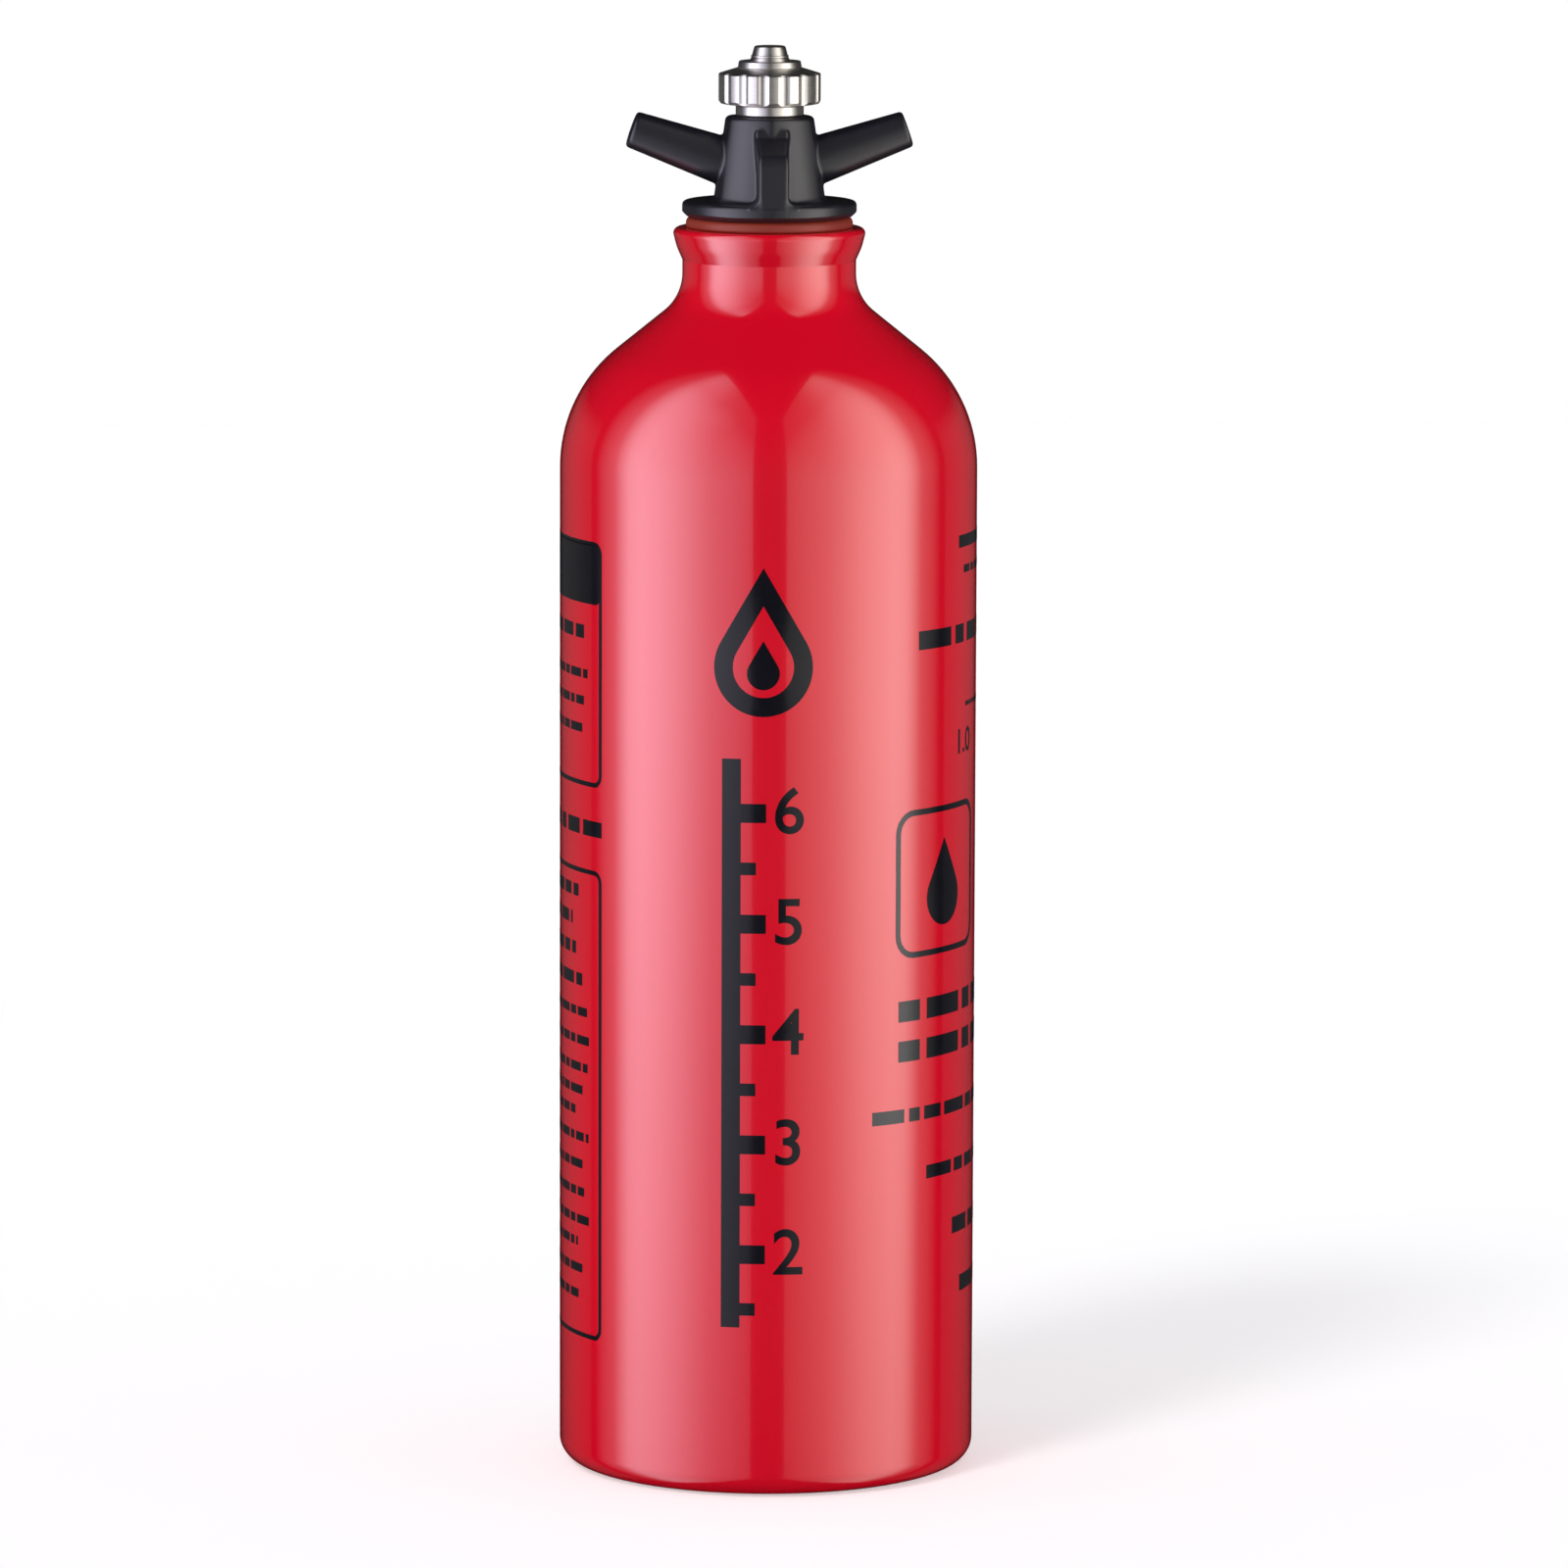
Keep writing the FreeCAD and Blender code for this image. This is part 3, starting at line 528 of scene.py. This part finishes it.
# print on the wall: a plain level scale, a drop and bare framed panels, in black ink
ink = {"radius": 39.99, "depth": 0.06, "strip": 1.2, "smooth": 40}
figure = {"capital": 0.7, "bold": 0.018}  # a capital's height in the font, and how much bolder it is
dropShape = {"steps": 40, "start": 30, "sweep": 240}
block = {"lengths": [2.3, 1.4, 2.9, 1.1, 2.0, 3.3, 1.6], "least": 0.3, "gap": 0.5}  # in block heights


def plate(name, left, low, right, high, corner=0.0):  # a flat rectangle facing the front, corners rounded
    bpy.ops.object.select_all(action="DESELECT")
    bpy.ops.mesh.primitive_plane_add(size=1, rotation=(math.pi / 2, 0, 0),
                                     location=((left + right) / 2 * mm, 0, (low + high) / 2 * mm))
    piece = bpy.context.object
    piece.name = name
    piece.scale = ((right - left) * mm, (high - low) * mm, 1)
    bpy.ops.object.transform_apply(location=True, rotation=True, scale=True)
    if corner:
        bpy.ops.object.mode_set(mode="EDIT")
        bpy.ops.mesh.select_all(action="SELECT")
        bpy.ops.mesh.bevel(offset=corner * mm, segments=6, affect="VERTICES")
        bpy.ops.object.mode_set(mode="OBJECT")
    return piece


def hollow(piece, line):  # keeps a line of that width along the edge
    pick(piece)
    bpy.ops.object.mode_set(mode="EDIT")
    bpy.ops.mesh.select_all(action="SELECT")
    bpy.ops.mesh.inset(thickness=line * mm)
    bpy.ops.mesh.delete(type="FACE")
    bpy.ops.object.mode_set(mode="OBJECT")
    return piece


def number(text, left, middle, height):
    bpy.ops.object.select_all(action="DESELECT")
    bpy.ops.object.text_add(rotation=(math.pi / 2, 0, 0), location=(left * mm, 0, middle * mm))
    piece = bpy.context.object
    piece.name = "number_" + text
    piece.data.body = text
    piece.data.size = height / figure["capital"] * mm
    piece.data.offset = height * figure["bold"] * mm
    piece.data.align_y = "CENTER"
    bpy.ops.object.convert(target="MESH")
    bpy.ops.object.transform_apply(location=True, rotation=True, scale=True)
    return bpy.context.object


def drop(name, across, middle, radius):  # a round foot with straight sides up to a point
    spots = [Vector((across, middle + 2 * radius))]
    for i in range(dropShape["steps"] + 1):
        a = math.radians(dropShape["start"] - dropShape["sweep"] * i / dropShape["steps"])
        spots.append(Vector((across + radius * math.cos(a), middle + radius * math.sin(a))))
    piece = drawPath(name, spots)
    bpy.ops.mesh.edge_face_add()
    bpy.ops.object.mode_set(mode="OBJECT")
    if piece.data.polygons[0].normal.y > 0:
        bpy.ops.object.mode_set(mode="EDIT")
        bpy.ops.mesh.flip_normals()
        bpy.ops.object.mode_set(mode="OBJECT")
    return piece


def wrapPrint(name, parts):  # cuts the flat drawing into strips, bends it round the wall and thickens it
    piece = joinAll(name, parts)
    across = [vertex.co.x for vertex in piece.data.vertices]
    low, high = min(across), max(across)
    count = math.ceil((high - low) / (ink["strip"] * mm))
    bpy.ops.object.mode_set(mode="EDIT")
    for i in range(1, count):
        bpy.ops.mesh.select_all(action="SELECT")
        bpy.ops.mesh.bisect(plane_co=(low + (high - low) * i / count, 0, 0), plane_no=(1, 0, 0))
    bpy.ops.object.mode_set(mode="OBJECT")
    for vertex in piece.data.vertices:
        a = vertex.co.x / (bottle["outside"] * mm) + stance
        vertex.co.x = ink["radius"] * mm * math.sin(a)
        vertex.co.y = -ink["radius"] * mm * math.cos(a)
    applyModifier(piece, "SOLIDIFY", thickness=ink["depth"] * mm, offset=-1.0)
    smoothFaces(piece, ink["smooth"])
    dress(piece, "bottle", None, blackInk)


def dashes(left, right, middle, height):  # a row of plain blocks, long and short
    parts = []
    i = round(middle)
    while left < right:
        stop = min(right, left + block["lengths"][i % len(block["lengths"])] * height)
        if stop - left > block["least"] * height:
            parts.append(plate("dash", left, middle - height / 2, stop, middle + height / 2))
        left = stop + block["gap"] * height
        i += 1
    return parts


scale = {"left": -8.6, "spine": 3.6, "low": 33.0, "high": 142.0, "zero": 4.81, "step": 21.14, "first": 2,
         "last": 6, "tick": 4.8, "tickThick": 3.6, "halfTick": 2.9, "halfThick": 2.4, "numberLeft": 1.1,
         "numberHigh": 8.6}


def makeScale():
    edge = scale["left"] + scale["spine"]
    parts = [plate("spine", scale["left"], scale["low"], edge, scale["high"])]
    for mark in range(scale["first"], scale["last"] + 1):
        z = scale["zero"] + scale["step"] * mark
        parts.append(plate("tick", edge, z - scale["tickThick"] / 2, edge + scale["tick"],
                           z + scale["tickThick"] / 2))
        parts.append(number(str(mark), scale["numberLeft"], z, scale["numberHigh"]))
        z -= scale["step"] / 2
        parts.append(plate("half", edge, z - scale["halfThick"] / 2, edge + scale["halfTick"],
                           z + scale["halfThick"] / 2))
    wrapPrint("print_scale", parts)


emblem = {"across": -0.8, "middle": 159.4, "radius": 9.4, "line": 3.6, "innerRadius": 3.1, "innerMiddle": 158.2}


def makeEmblem():
    outer = hollow(drop("drop", emblem["across"], emblem["middle"], emblem["radius"]), emblem["line"])
    inner = drop("droplet", emblem["across"], emblem["innerMiddle"], emblem["innerRadius"])
    wrapPrint("print_drop", [outer, inner])


leftPanels = {"right": -36.3, "left": -84.0, "line": 0.9, "corner": 2.4, "headerCorner": 0.7,
              "upper": (134.0, 181.0), "header": 169.0, "lower": (27.0, 118.0), "inset": 4.5,
              "rows": [(163.5, 5.7, 2.6), (155.5, 4.9, 1.7), (150.3, 5.6, 1.7), (145.0, 7.0, 1.7),
                       (126.0, 0.0, 3.0), (113.5, 8.6, 2.4), (108.0, 11.5, 2.4), (102.3, 9.8, 2.4),
                       (96.4, 5.2, 2.4), (90.2, 5.0, 1.7), (84.7, 3.2, 1.7), (79.4, 3.9, 1.7), (75.0, 6.2, 1.7),
                       (70.9, 9.3, 1.7), (65.9, 4.4, 1.7), (60.6, 6.3, 1.7), (55.2, 6.1, 1.7), (49.8, 3.7, 1.7),
                       (45.4, 8.8, 1.7), (40.3, 6.4, 1.7), (35.2, 7.6, 1.7)]}
# rows are (height, end's distance from the frame, block height)


def makeLeftPanels():
    look = leftPanels
    low, high = look["upper"]
    parts = [hollow(plate("frame", look["left"], low, look["right"], high, look["corner"]), look["line"]),
             plate("header", look["left"] + look["line"] / 2, look["header"], look["right"] - look["line"] / 2,
                   high - look["line"] / 2, look["corner"] * look["headerCorner"]),
             hollow(plate("frame", look["left"], look["lower"][0], look["right"], look["lower"][1],
                          look["corner"]), look["line"])]
    for z, inset, height in look["rows"]:
        parts += dashes(look["left"] + look["inset"], look["right"] - inset, z, height)
    wrapPrint("print_left_panels", parts)


rightMarks = {"right": 82.0, "line": 180.6, "lineThick": 2.4, "lineLeft": 45.5,
              "frame": (26.3, 102.4, 54.0, 130.8), "frameCorner": 4.5, "frameLine": 1.15, "dropMiddle": 113.4,
              "dropRadius": 5.6, "number": (44.4, 142.0, 4.6),
              "rows": [(175.2, 48.0, 1.5), (163.0, 31.9, 3.6), (149.2, 49.3, 0.9), (92.3, 27.1, 4.0),
                       (84.6, 27.1, 4.0), (72.2, 21.1, 2.6), (60.6, 34.8, 2.6), (48.8, 44.0, 3.2),
                       (37.0, 47.7, 3.2)]}  # rows are (height, start, block height)


def makeRightMarks():
    look = rightMarks
    left, low, right, high = look["frame"]
    parts = [plate("line", look["lineLeft"], look["line"] - look["lineThick"] / 2, look["right"],
                   look["line"] + look["lineThick"] / 2),
             hollow(plate("frame", left, low, right, high, look["frameCorner"]), look["frameLine"]),
             drop("frame_drop", (left + right) / 2, look["dropMiddle"], look["dropRadius"]),
             number("1.0", *look["number"])]
    for z, start, height in look["rows"]:
        parts += dashes(start, look["right"], z, height)
    wrapPrint("print_right_marks", parts)


makeScale()
makeEmblem()
makeLeftPanels()
makeRightMarks()
print("print wrapped round the wall")

# flat seal under the flange, bulged a little where it is squeezed
seal = {"inside": 13.6, "outside": 15.95, "lowRound": 0.5, "topRound": 1.35, "thick": 2.2, "smooth": 35}
sealTop = lipZ + seal["thick"]


def makeSeal():
    ring = closedLathe("stopper_seal", [
        (seal["inside"], lipZ), (seal["outside"], lipZ, seal["lowRound"]),
        (seal["outside"], sealTop, seal["topRound"]), (seal["inside"], sealTop)])
    smoothFaces(ring, seal["smooth"])
    dress(ring, "gasket", "stopper_gasket", silicone)


makeSeal()

# stopper: flange, hub, arms and ribs melted together as one moulding, then bored and given its plug
stopper = {"flange": 16.67, "flangeThick": 2.9, "flangeChamfer": 0.85, "flangeEdge": 0.8, "hubFoot": 10.7,
           "hubTop": 8.4, "hubHigh": 16.1, "hubFillet": 1.2, "hubEdge": 0.8, "hubBulge": 1.7, "hubCorner": 3.0,
           "hubReach": 12.5, "steps": 144, "armRise": 19.2, "armUp": 4.5, "armReach": 27.95, "armFoot": 5.23,
           "armTip": 3.52, "armEdge": 0.6, "armBore": 2.0, "boreStart": 3.0, "ribWide": 5.6, "ribHigh": 9.1,
           "ribSlope": 25.0, "ribEdge": 3.1, "ribFillet": 0.6, "ribRound": 0.5, "ribSink": 1.45, "ribEar": 1.6,
           "ribEarIn": 1.6, "ribSpread": 1.16, "spreadDown": 0.5, "spreadOut": 0.8, "ribFoot": 1.9,
           "footIn": 0.6, "footSink": 0.4, "footStart": 1, "footEnd": 0.5, "voxel": 0.17, "soften": 3,
           "hollow": 0.048, "filletRings": 4, "filletSmooth": 18, "keep": 0.4, "smooth": 38}
plug = {"core": 13.3, "length": 12.2, "chamfer": 0.6, "bore": 9.5, "boreTop": -1.5, "ridgeStart": 1.8,
        "ridgeTurns": 2.2, "ridgeSink": 0.3, "crest": 14.3, "footHalf": 0.655, "crestHalf": 0.305}
chamber = {"radius": 5.0, "floor": 4.0, "seatHole": 2.2, "seatLand": 1.0, "seatRise": 0.6, "gland": 5.6,
           "glandDeep": 6.2}
flangeTop = sealTop + stopper["flangeThick"]
hubZ = flangeTop + stopper["hubHigh"]


def hubSwell(angle):  # the hub has six soft faces: its reach at this angle, against a face's middle
    off = (angle + math.pi / 6) % (math.pi / 3) - math.pi / 6
    off = math.pi / 6 - math.hypot(math.pi / 6 - abs(off), math.radians(stopper["hubCorner"]))  # soft corners
    back = stopper["hubBulge"] - 1
    return math.sqrt(stopper["hubBulge"] ** 2 - (back * math.sin(off)) ** 2) - back * math.cos(off)


def makeArm(side):  # a tapered spout, leaning up and out to one side
    rise = math.radians(stopper["armRise"])
    reach = stopper["armReach"]
    bpy.ops.object.select_all(action="DESELECT")
    bpy.ops.mesh.primitive_cone_add(
        vertices=64, radius1=stopper["armFoot"] * mm, radius2=stopper["armTip"] * mm, depth=reach * mm,
        location=(side * reach / 2 * math.cos(rise) * mm, 0,
                  (flangeTop + stopper["armUp"] + reach / 2 * math.sin(rise)) * mm),
        rotation=(0, side * (math.pi / 2 - rise), 0))
    arm = bpy.context.object
    bpy.ops.object.transform_apply(location=True, rotation=True, scale=True)
    tip = Vector((side * math.cos(rise), 0, math.sin(rise)))
    end = max(vertex.co.dot(tip) for vertex in arm.data.vertices)
    bpy.ops.object.mode_set(mode="EDIT")
    bpy.ops.mesh.select_all(action="DESELECT")
    bpy.ops.object.mode_set(mode="OBJECT")
    for edge in arm.data.edges:
        ends = [arm.data.vertices[i].co.dot(tip) for i in edge.vertices]
        edge.select = min(ends) > end - tiny * mm
    bpy.ops.object.mode_set(mode="EDIT")
    bpy.ops.mesh.bevel(offset=stopper["armEdge"] * mm, segments=3)
    bpy.ops.object.mode_set(mode="OBJECT")
    return arm


def makeRib(side):  # a web from the flange's edge up to the hub, side -1 at the front
    front = math.sqrt(stopper["flange"] ** 2 - (stopper["ribWide"] / 2) ** 2)
    slant = (stopper["hubFoot"] - stopper["hubTop"]) / stopper["hubHigh"]
    slope = math.tan(math.radians(stopper["ribSlope"]))
    ridge = hubSwell(math.pi / 2)
    meet = ((stopper["ribHigh"] + (stopper["flange"] - stopper["hubFoot"] * ridge) * slope)
            / (1 - slant * ridge * slope))
    back = (stopper["hubFoot"] - meet * slant) * ridge
    turn = math.asin(stopper["ribEarIn"] / back)
    ear = meet + stopper["ribEar"]
    deep = (stopper["hubFoot"] - ear * slant) * hubSwell(math.pi / 2 - turn) * math.cos(turn)
    low, earZ = flangeTop - stopper["ribSink"], flangeTop + meet + stopper["ribEar"]
    path = roundedPath([
        (0, low), (-front, low), (-front, flangeTop + stopper["ribHigh"], stopper["ribEdge"]),
        (-back, flangeTop + meet, stopper["ribFillet"]), (-deep, earZ), (0, earZ)], arcStep=4.0, longest=40.0)
    rib = drawPath("rib", [Vector((-side * spot.x, spot.y)) for spot in path], "YZ")
    bpy.ops.mesh.edge_face_add()
    bpy.ops.transform.translate(value=(-stopper["ribWide"] / 2 * mm, 0, 0))
    bpy.ops.mesh.extrude_region_move(TRANSFORM_OT_translate={"value": (stopper["ribWide"] * mm, 0, 0)})
    bpy.ops.mesh.select_all(action="SELECT")
    bpy.ops.mesh.normals_make_consistent(inside=False)
    bpy.ops.mesh.select_mode(type="EDGE")
    bpy.ops.mesh.select_all(action="DESELECT")
    bpy.ops.object.mode_set(mode="OBJECT")
    for edge in rib.data.edges:  # the outline on both side faces
        a, b = [rib.data.vertices[i].co for i in edge.vertices]
        edge.select = abs(a.x - b.x) < tiny * mm
    bpy.ops.object.mode_set(mode="EDIT")
    bpy.ops.mesh.bevel(offset=stopper["ribRound"] * mm, segments=4, clamp_overlap=False)
    bpy.ops.mesh.select_mode(type="VERT")
    bpy.ops.object.mode_set(mode="OBJECT")
    spreadFrom = (flangeTop + stopper["ribHigh"] - stopper["spreadDown"]) * mm
    for vertex in rib.data.vertices:  # its sides spread where the slope runs into the hub
        if vertex.co.z > spreadFrom and abs(vertex.co.y) < (back + stopper["spreadOut"]) * mm:
            vertex.co.x *= stopper["ribSpread"]
    return rib


def makeRibFoot(side, hand):  # the hollow curve from a rib's side down to the flange
    near, run, steps = stopper["ribWide"] / 2, stopper["ribFoot"], 8
    inside, low = near - stopper["footIn"], flangeTop - stopper["footSink"]
    spots = [Vector((inside, low)), Vector((near + run, low))]
    for i in range(steps + 1):
        a = math.radians(90 * i / steps)
        spots.append(Vector((near + run * (1 - math.sin(a)), flangeTop + run * (1 - math.cos(a)))))
    spots.append(Vector((inside, flangeTop + run)))
    piece = drawPath("rib_foot", [Vector((hand * spot.x, spot.y)) for spot in spots])
    bpy.ops.mesh.edge_face_add()
    start, end = stopper["hubFoot"] - stopper["footStart"], stopper["flange"] - stopper["footEnd"]
    bpy.ops.transform.translate(value=(0, side * start * mm, 0))
    bpy.ops.mesh.extrude_region_move(TRANSFORM_OT_translate={"value": (0, side * (end - start) * mm, 0)})
    bpy.ops.mesh.select_all(action="SELECT")
    bpy.ops.mesh.normals_make_consistent(inside=False)
    bpy.ops.object.mode_set(mode="OBJECT")
    return piece


def softenHollows(piece):  # rounds the inside corners, where the moulding has its fillets
    mesh = piece.data
    near = [[] for vertex in mesh.vertices]
    for edge in mesh.edges:
        a, b = edge.vertices
        near[a].append(b)
        near[b].append(a)
    bpy.ops.object.mode_set(mode="EDIT")
    bpy.ops.mesh.select_mode(type="VERT")
    bpy.ops.mesh.select_all(action="DESELECT")
    bpy.ops.object.mode_set(mode="OBJECT")
    for vertex, others in zip(mesh.vertices, near):
        middle = sum((mesh.vertices[i].co for i in others), Vector()) / len(others)
        vertex.select = (middle - vertex.co).dot(vertex.normal) > stopper["hollow"] * stopper["voxel"] * mm
    bpy.ops.object.mode_set(mode="EDIT")
    for i in range(stopper["filletRings"]):
        bpy.ops.mesh.select_more()
    bpy.ops.mesh.vertices_smooth(factor=0.5, repeat=stopper["filletSmooth"])
    bpy.ops.object.mode_set(mode="OBJECT")


def makePlug():
    low = sealTop - plug["length"]
    core = lathe("plug", roundedPath([
        (0, low), (plug["core"] - plug["chamfer"], low), (plug["core"], low + plug["chamfer"]),
        (plug["core"], sealTop + past), (0, sealTop + past)]))
    middle = low + plug["ridgeStart"]
    sunk = plug["core"] - plug["ridgeSink"]
    ridge = helixBar("ridge", [
        (sunk, middle - plug["footHalf"]), (plug["core"], middle - plug["footHalf"]),
        (plug["crest"], middle - plug["crestHalf"]), (plug["crest"], middle + plug["crestHalf"]),
        (plug["core"], middle + plug["footHalf"]), (sunk, middle + plug["footHalf"])],
        plug["ridgeTurns"], thread["pitch"])
    combine(core, ridge, "UNION")
    return core


def makeStopper():
    body = lathe("stopper", roundedPath([
        (0, sealTop), (stopper["flange"] - stopper["flangeChamfer"], sealTop),
        (stopper["flange"], sealTop + stopper["flangeChamfer"]),
        (stopper["flange"], flangeTop, stopper["flangeEdge"]),
        (stopper["hubFoot"], flangeTop, stopper["hubFillet"]),
        (stopper["hubTop"], hubZ, stopper["hubEdge"]), (0, hubZ)]), stopper["steps"])
    for vertex in body.data.vertices:
        reach = math.hypot(vertex.co.x, vertex.co.y)
        if vertex.co.z > (flangeTop + tiny) * mm and 0 < reach < stopper["hubReach"] * mm:
            swell = hubSwell(math.atan2(vertex.co.y, vertex.co.x))
            vertex.co.x *= swell
            vertex.co.y *= swell
    feet = [makeRibFoot(side, hand) for side in (-1, 1) for hand in (-1, 1)]
    body = joinAll("stopper", [body, makeArm(1), makeArm(-1), makeRib(-1), makeRib(1)] + feet)
    applyModifier(body, "REMESH", mode="VOXEL", voxel_size=stopper["voxel"] * mm)
    applyModifier(body, "SMOOTH", factor=0.5, iterations=stopper["soften"])
    softenHollows(body)
    applyModifier(body, "DECIMATE", ratio=stopper["keep"])
    combine(body, makePlug(), "UNION")
    low = sealTop - plug["length"]
    floorZ = sealTop + chamber["floor"]
    way = lathe("way", roundedPath([
        (0, low - past), (plug["bore"], low - past), (plug["bore"], sealTop + plug["boreTop"]),
        (chamber["seatHole"], sealTop + plug["boreTop"]), (chamber["seatHole"], floorZ + chamber["seatRise"]),
        (chamber["seatHole"] + chamber["seatLand"], floorZ + chamber["seatRise"]),
        (chamber["seatHole"] + chamber["seatLand"] + chamber["seatRise"], floorZ), (chamber["radius"], floorZ),
        (chamber["radius"], hubZ - chamber["glandDeep"]), (chamber["gland"], hubZ - chamber["glandDeep"]),
        (chamber["gland"], hubZ + past), (0, hubZ + past)]), ringSteps)
    combine(body, way, "DIFFERENCE")
    rise = math.radians(stopper["armRise"])
    for side in (1, -1):
        bpy.ops.object.select_all(action="DESELECT")
        start, end = stopper["boreStart"], stopper["armReach"] + past
        bpy.ops.mesh.primitive_cylinder_add(
            vertices=48, radius=stopper["armBore"] * mm, depth=(end - start) * mm,
            location=(side * (start + end) / 2 * math.cos(rise) * mm, 0,
                      (flangeTop + stopper["armUp"] + (start + end) / 2 * math.sin(rise)) * mm),
            rotation=(0, side * (math.pi / 2 - rise), 0))
        hole = bpy.context.object
        bpy.ops.object.transform_apply(location=True, rotation=True, scale=True)
        combine(body, hole, "DIFFERENCE")
    smoothFaces(body, stopper["smooth"])
    dress(body, "stopper", "stopper_body", nylon)
    return body


moulding = makeStopper()
print("stopper moulded:", len(moulding.data.polygons), "faces")

# valve metal on top: gland collar, scalloped knob, washer and cap nut
gland = {"bore": 2.45, "shank": 5.55, "deep": 6.2, "ringDrop": 3.9, "innerDrop": 0.8, "groove": 1.3,
         "collar": 6.5, "collarHigh": 2.2, "edge": 0.3, "bevel": 0.4, "bevelEdge": 0.06}


def makeGland():
    cut = gland["groove"]
    outer, inner = gland["shank"] - cut, gland["bore"] + cut
    mid, low = hubZ - gland["ringDrop"], hubZ - gland["innerDrop"]
    part = closedLathe("gland", [
        (gland["bore"], hubZ - gland["deep"]), (gland["shank"], hubZ - gland["deep"]),
        (gland["shank"], mid - cut / 2), (outer, mid - cut / 2), (outer, mid + cut / 2),
        (gland["shank"], mid + cut / 2), (gland["shank"], hubZ),
        (gland["collar"] - gland["bevel"], hubZ), (gland["collar"], hubZ + gland["bevel"], gland["bevelEdge"]),
        (gland["collar"], hubZ + gland["collarHigh"], gland["edge"]),
        (gland["bore"], hubZ + gland["collarHigh"]), (gland["bore"], low + cut / 2), (inner, low + cut / 2),
        (inner, low - cut / 2), (gland["bore"], low - cut / 2)], ringSteps)
    smoothFaces(part, metalSmooth)
    dress(part, "stopper", "valve_gland", steel)


knob = {"gap": 0.2, "radius": 9.76, "rim": 5.75, "cone": 1.15, "bore": 2.05, "top": 6.1, "flutes": 15,
        "deep": 0.4, "cutter": 1.8, "first": 13.94, "edge": 0.3, "foot": 0.8, "footMid": 0.38, "footLow": 0.1,
        "footHigh": 0.62, "footRings": 8, "perFlute": 20, "plain": 7.0}  # no flutes inside the plain radius
knobZ = hubZ + gland["collarHigh"] + knob["gap"]
coneZ = knobZ + knob["rim"]
washerZ = coneZ + knob["cone"]


def fluteCut(angle):  # how far the flutes cut in at this angle round the axis
    pitch = math.tau / knob["flutes"]
    off = (angle + math.pi / 2 - math.radians(knob["first"]) + pitch / 2) % pitch - pitch / 2
    middle = knob["radius"] - knob["deep"] + knob["cutter"]
    inside = knob["cutter"] ** 2 - (middle * math.sin(off)) ** 2
    if inside <= 0:
        return 0.0
    return max(0.0, knob["radius"] - (middle * math.cos(off) - math.sqrt(inside)))


def makeKnob():
    radius, edge, foot = knob["radius"], knob["edge"], knob["foot"]
    slope = knob["cone"] / (radius - knob["top"])
    bevel = []  # the lower edge, in rings close enough for the flutes to end in clean arcs
    for i in range(knob["footRings"] + 1):
        part = i / knob["footRings"]
        bevel.append((radius - knob["footMid"] * (1 - part),
                      knobZ + knob["footLow"] + (knob["footHigh"] - knob["footLow"]) * part))
    path = roundedPath(
        [(knob["bore"], knobZ), (radius - foot, knobZ)] + bevel
        + [(radius, coneZ, edge), (knob["top"], washerZ), (knob["bore"], washerZ), (knob["bore"], knobZ)],
        arcStep=12.0, longest=0.9)
    wheel = lathe("knob", path, knob["flutes"] * knob["perFlute"])
    for vertex in wheel.data.vertices:  # cuts the flutes in, straight below and fading out up the cone
        reach = math.hypot(vertex.co.x, vertex.co.y) / mm
        cut = fluteCut(math.atan2(vertex.co.y, vertex.co.x))
        if reach < knob["plain"] or cut <= 0:
            continue
        fade = min(1.0, (reach - knob["plain"]) / (radius - foot - knob["plain"]))
        fresh = reach - cut * fade
        if vertex.co.z < (knobZ + knob["footHigh"] + tiny) * mm:
            fresh = min(reach, radius - cut)
        if vertex.co.z > (coneZ + 2 * tiny) * mm:
            vertex.co.z += (reach - fresh) * slope * mm
        vertex.co.x *= fresh / reach
        vertex.co.y *= fresh / reach
    smoothFaces(wheel, metalSmooth)
    dress(wheel, "knob", "knob_wheel", steel)


washer = {"radius": 6.1, "draft": 0.2, "thick": 1.25, "lowEdge": 0.12, "edge": 0.22, "bore": 2.05}
nutZ = washerZ + washer["thick"]


def makeWasher():
    part = closedLathe("knob_disc", [
        (washer["bore"], washerZ), (washer["radius"], washerZ, washer["lowEdge"]),
        (washer["radius"] - washer["draft"], nutZ, washer["edge"]), (washer["bore"], nutZ)], ringSteps)
    smoothFaces(part, metalSmooth)
    dress(part, "knob", "knob_washer", steel)


nut = {"bore": 2.05, "high": 2.85, "roof": 1.45,
       "rows": [(3.87, 0, 0.05), (3.6, 0.62, 0.08), (3.52, 0.72, 0), (3.59, 0.8, 0.04), (3.59, 1.03, 0.06),
                (3.42, 1.1, 0.04), (2.95, 2.85, 0.45)]}  # rows are (radius, height, rounding), skirt to top


def makeCapNut():  # a flared skirt, a thin bead and a tapered nose
    inside, top = nutZ + nut["high"] - nut["roof"], nutZ + nut["high"]
    outline = [(radius, nutZ + up, rounding) for radius, up, rounding in nut["rows"]]
    bore = [(0, inside), (nut["bore"], inside), (nut["bore"], nutZ)]
    part = lathe("cap_nut", roundedPath(bore + outline + [(0, top)], arcStep=12.0), ringSteps)
    smoothFaces(part, metalSmooth)
    dress(part, "knob", "knob_cap_nut", steel)


makeGland()
makeKnob()
makeWasher()
makeCapNut()
print("valve metal turned")

# pieces inside the hub keep their solids and get their finishes
innerFinish = {"valve_spindle": steel, "valve_jumper": brass, "seat_washer_screw": brass,
               "seat_washer": nitrile, "gland_seal_ring": nitrile, "spindle_seal_ring": nitrile}
for name, material in innerFinish.items():
    nodes[name].data.materials.clear()
    nodes[name].data.materials.append(material)
print("inner pieces finished")
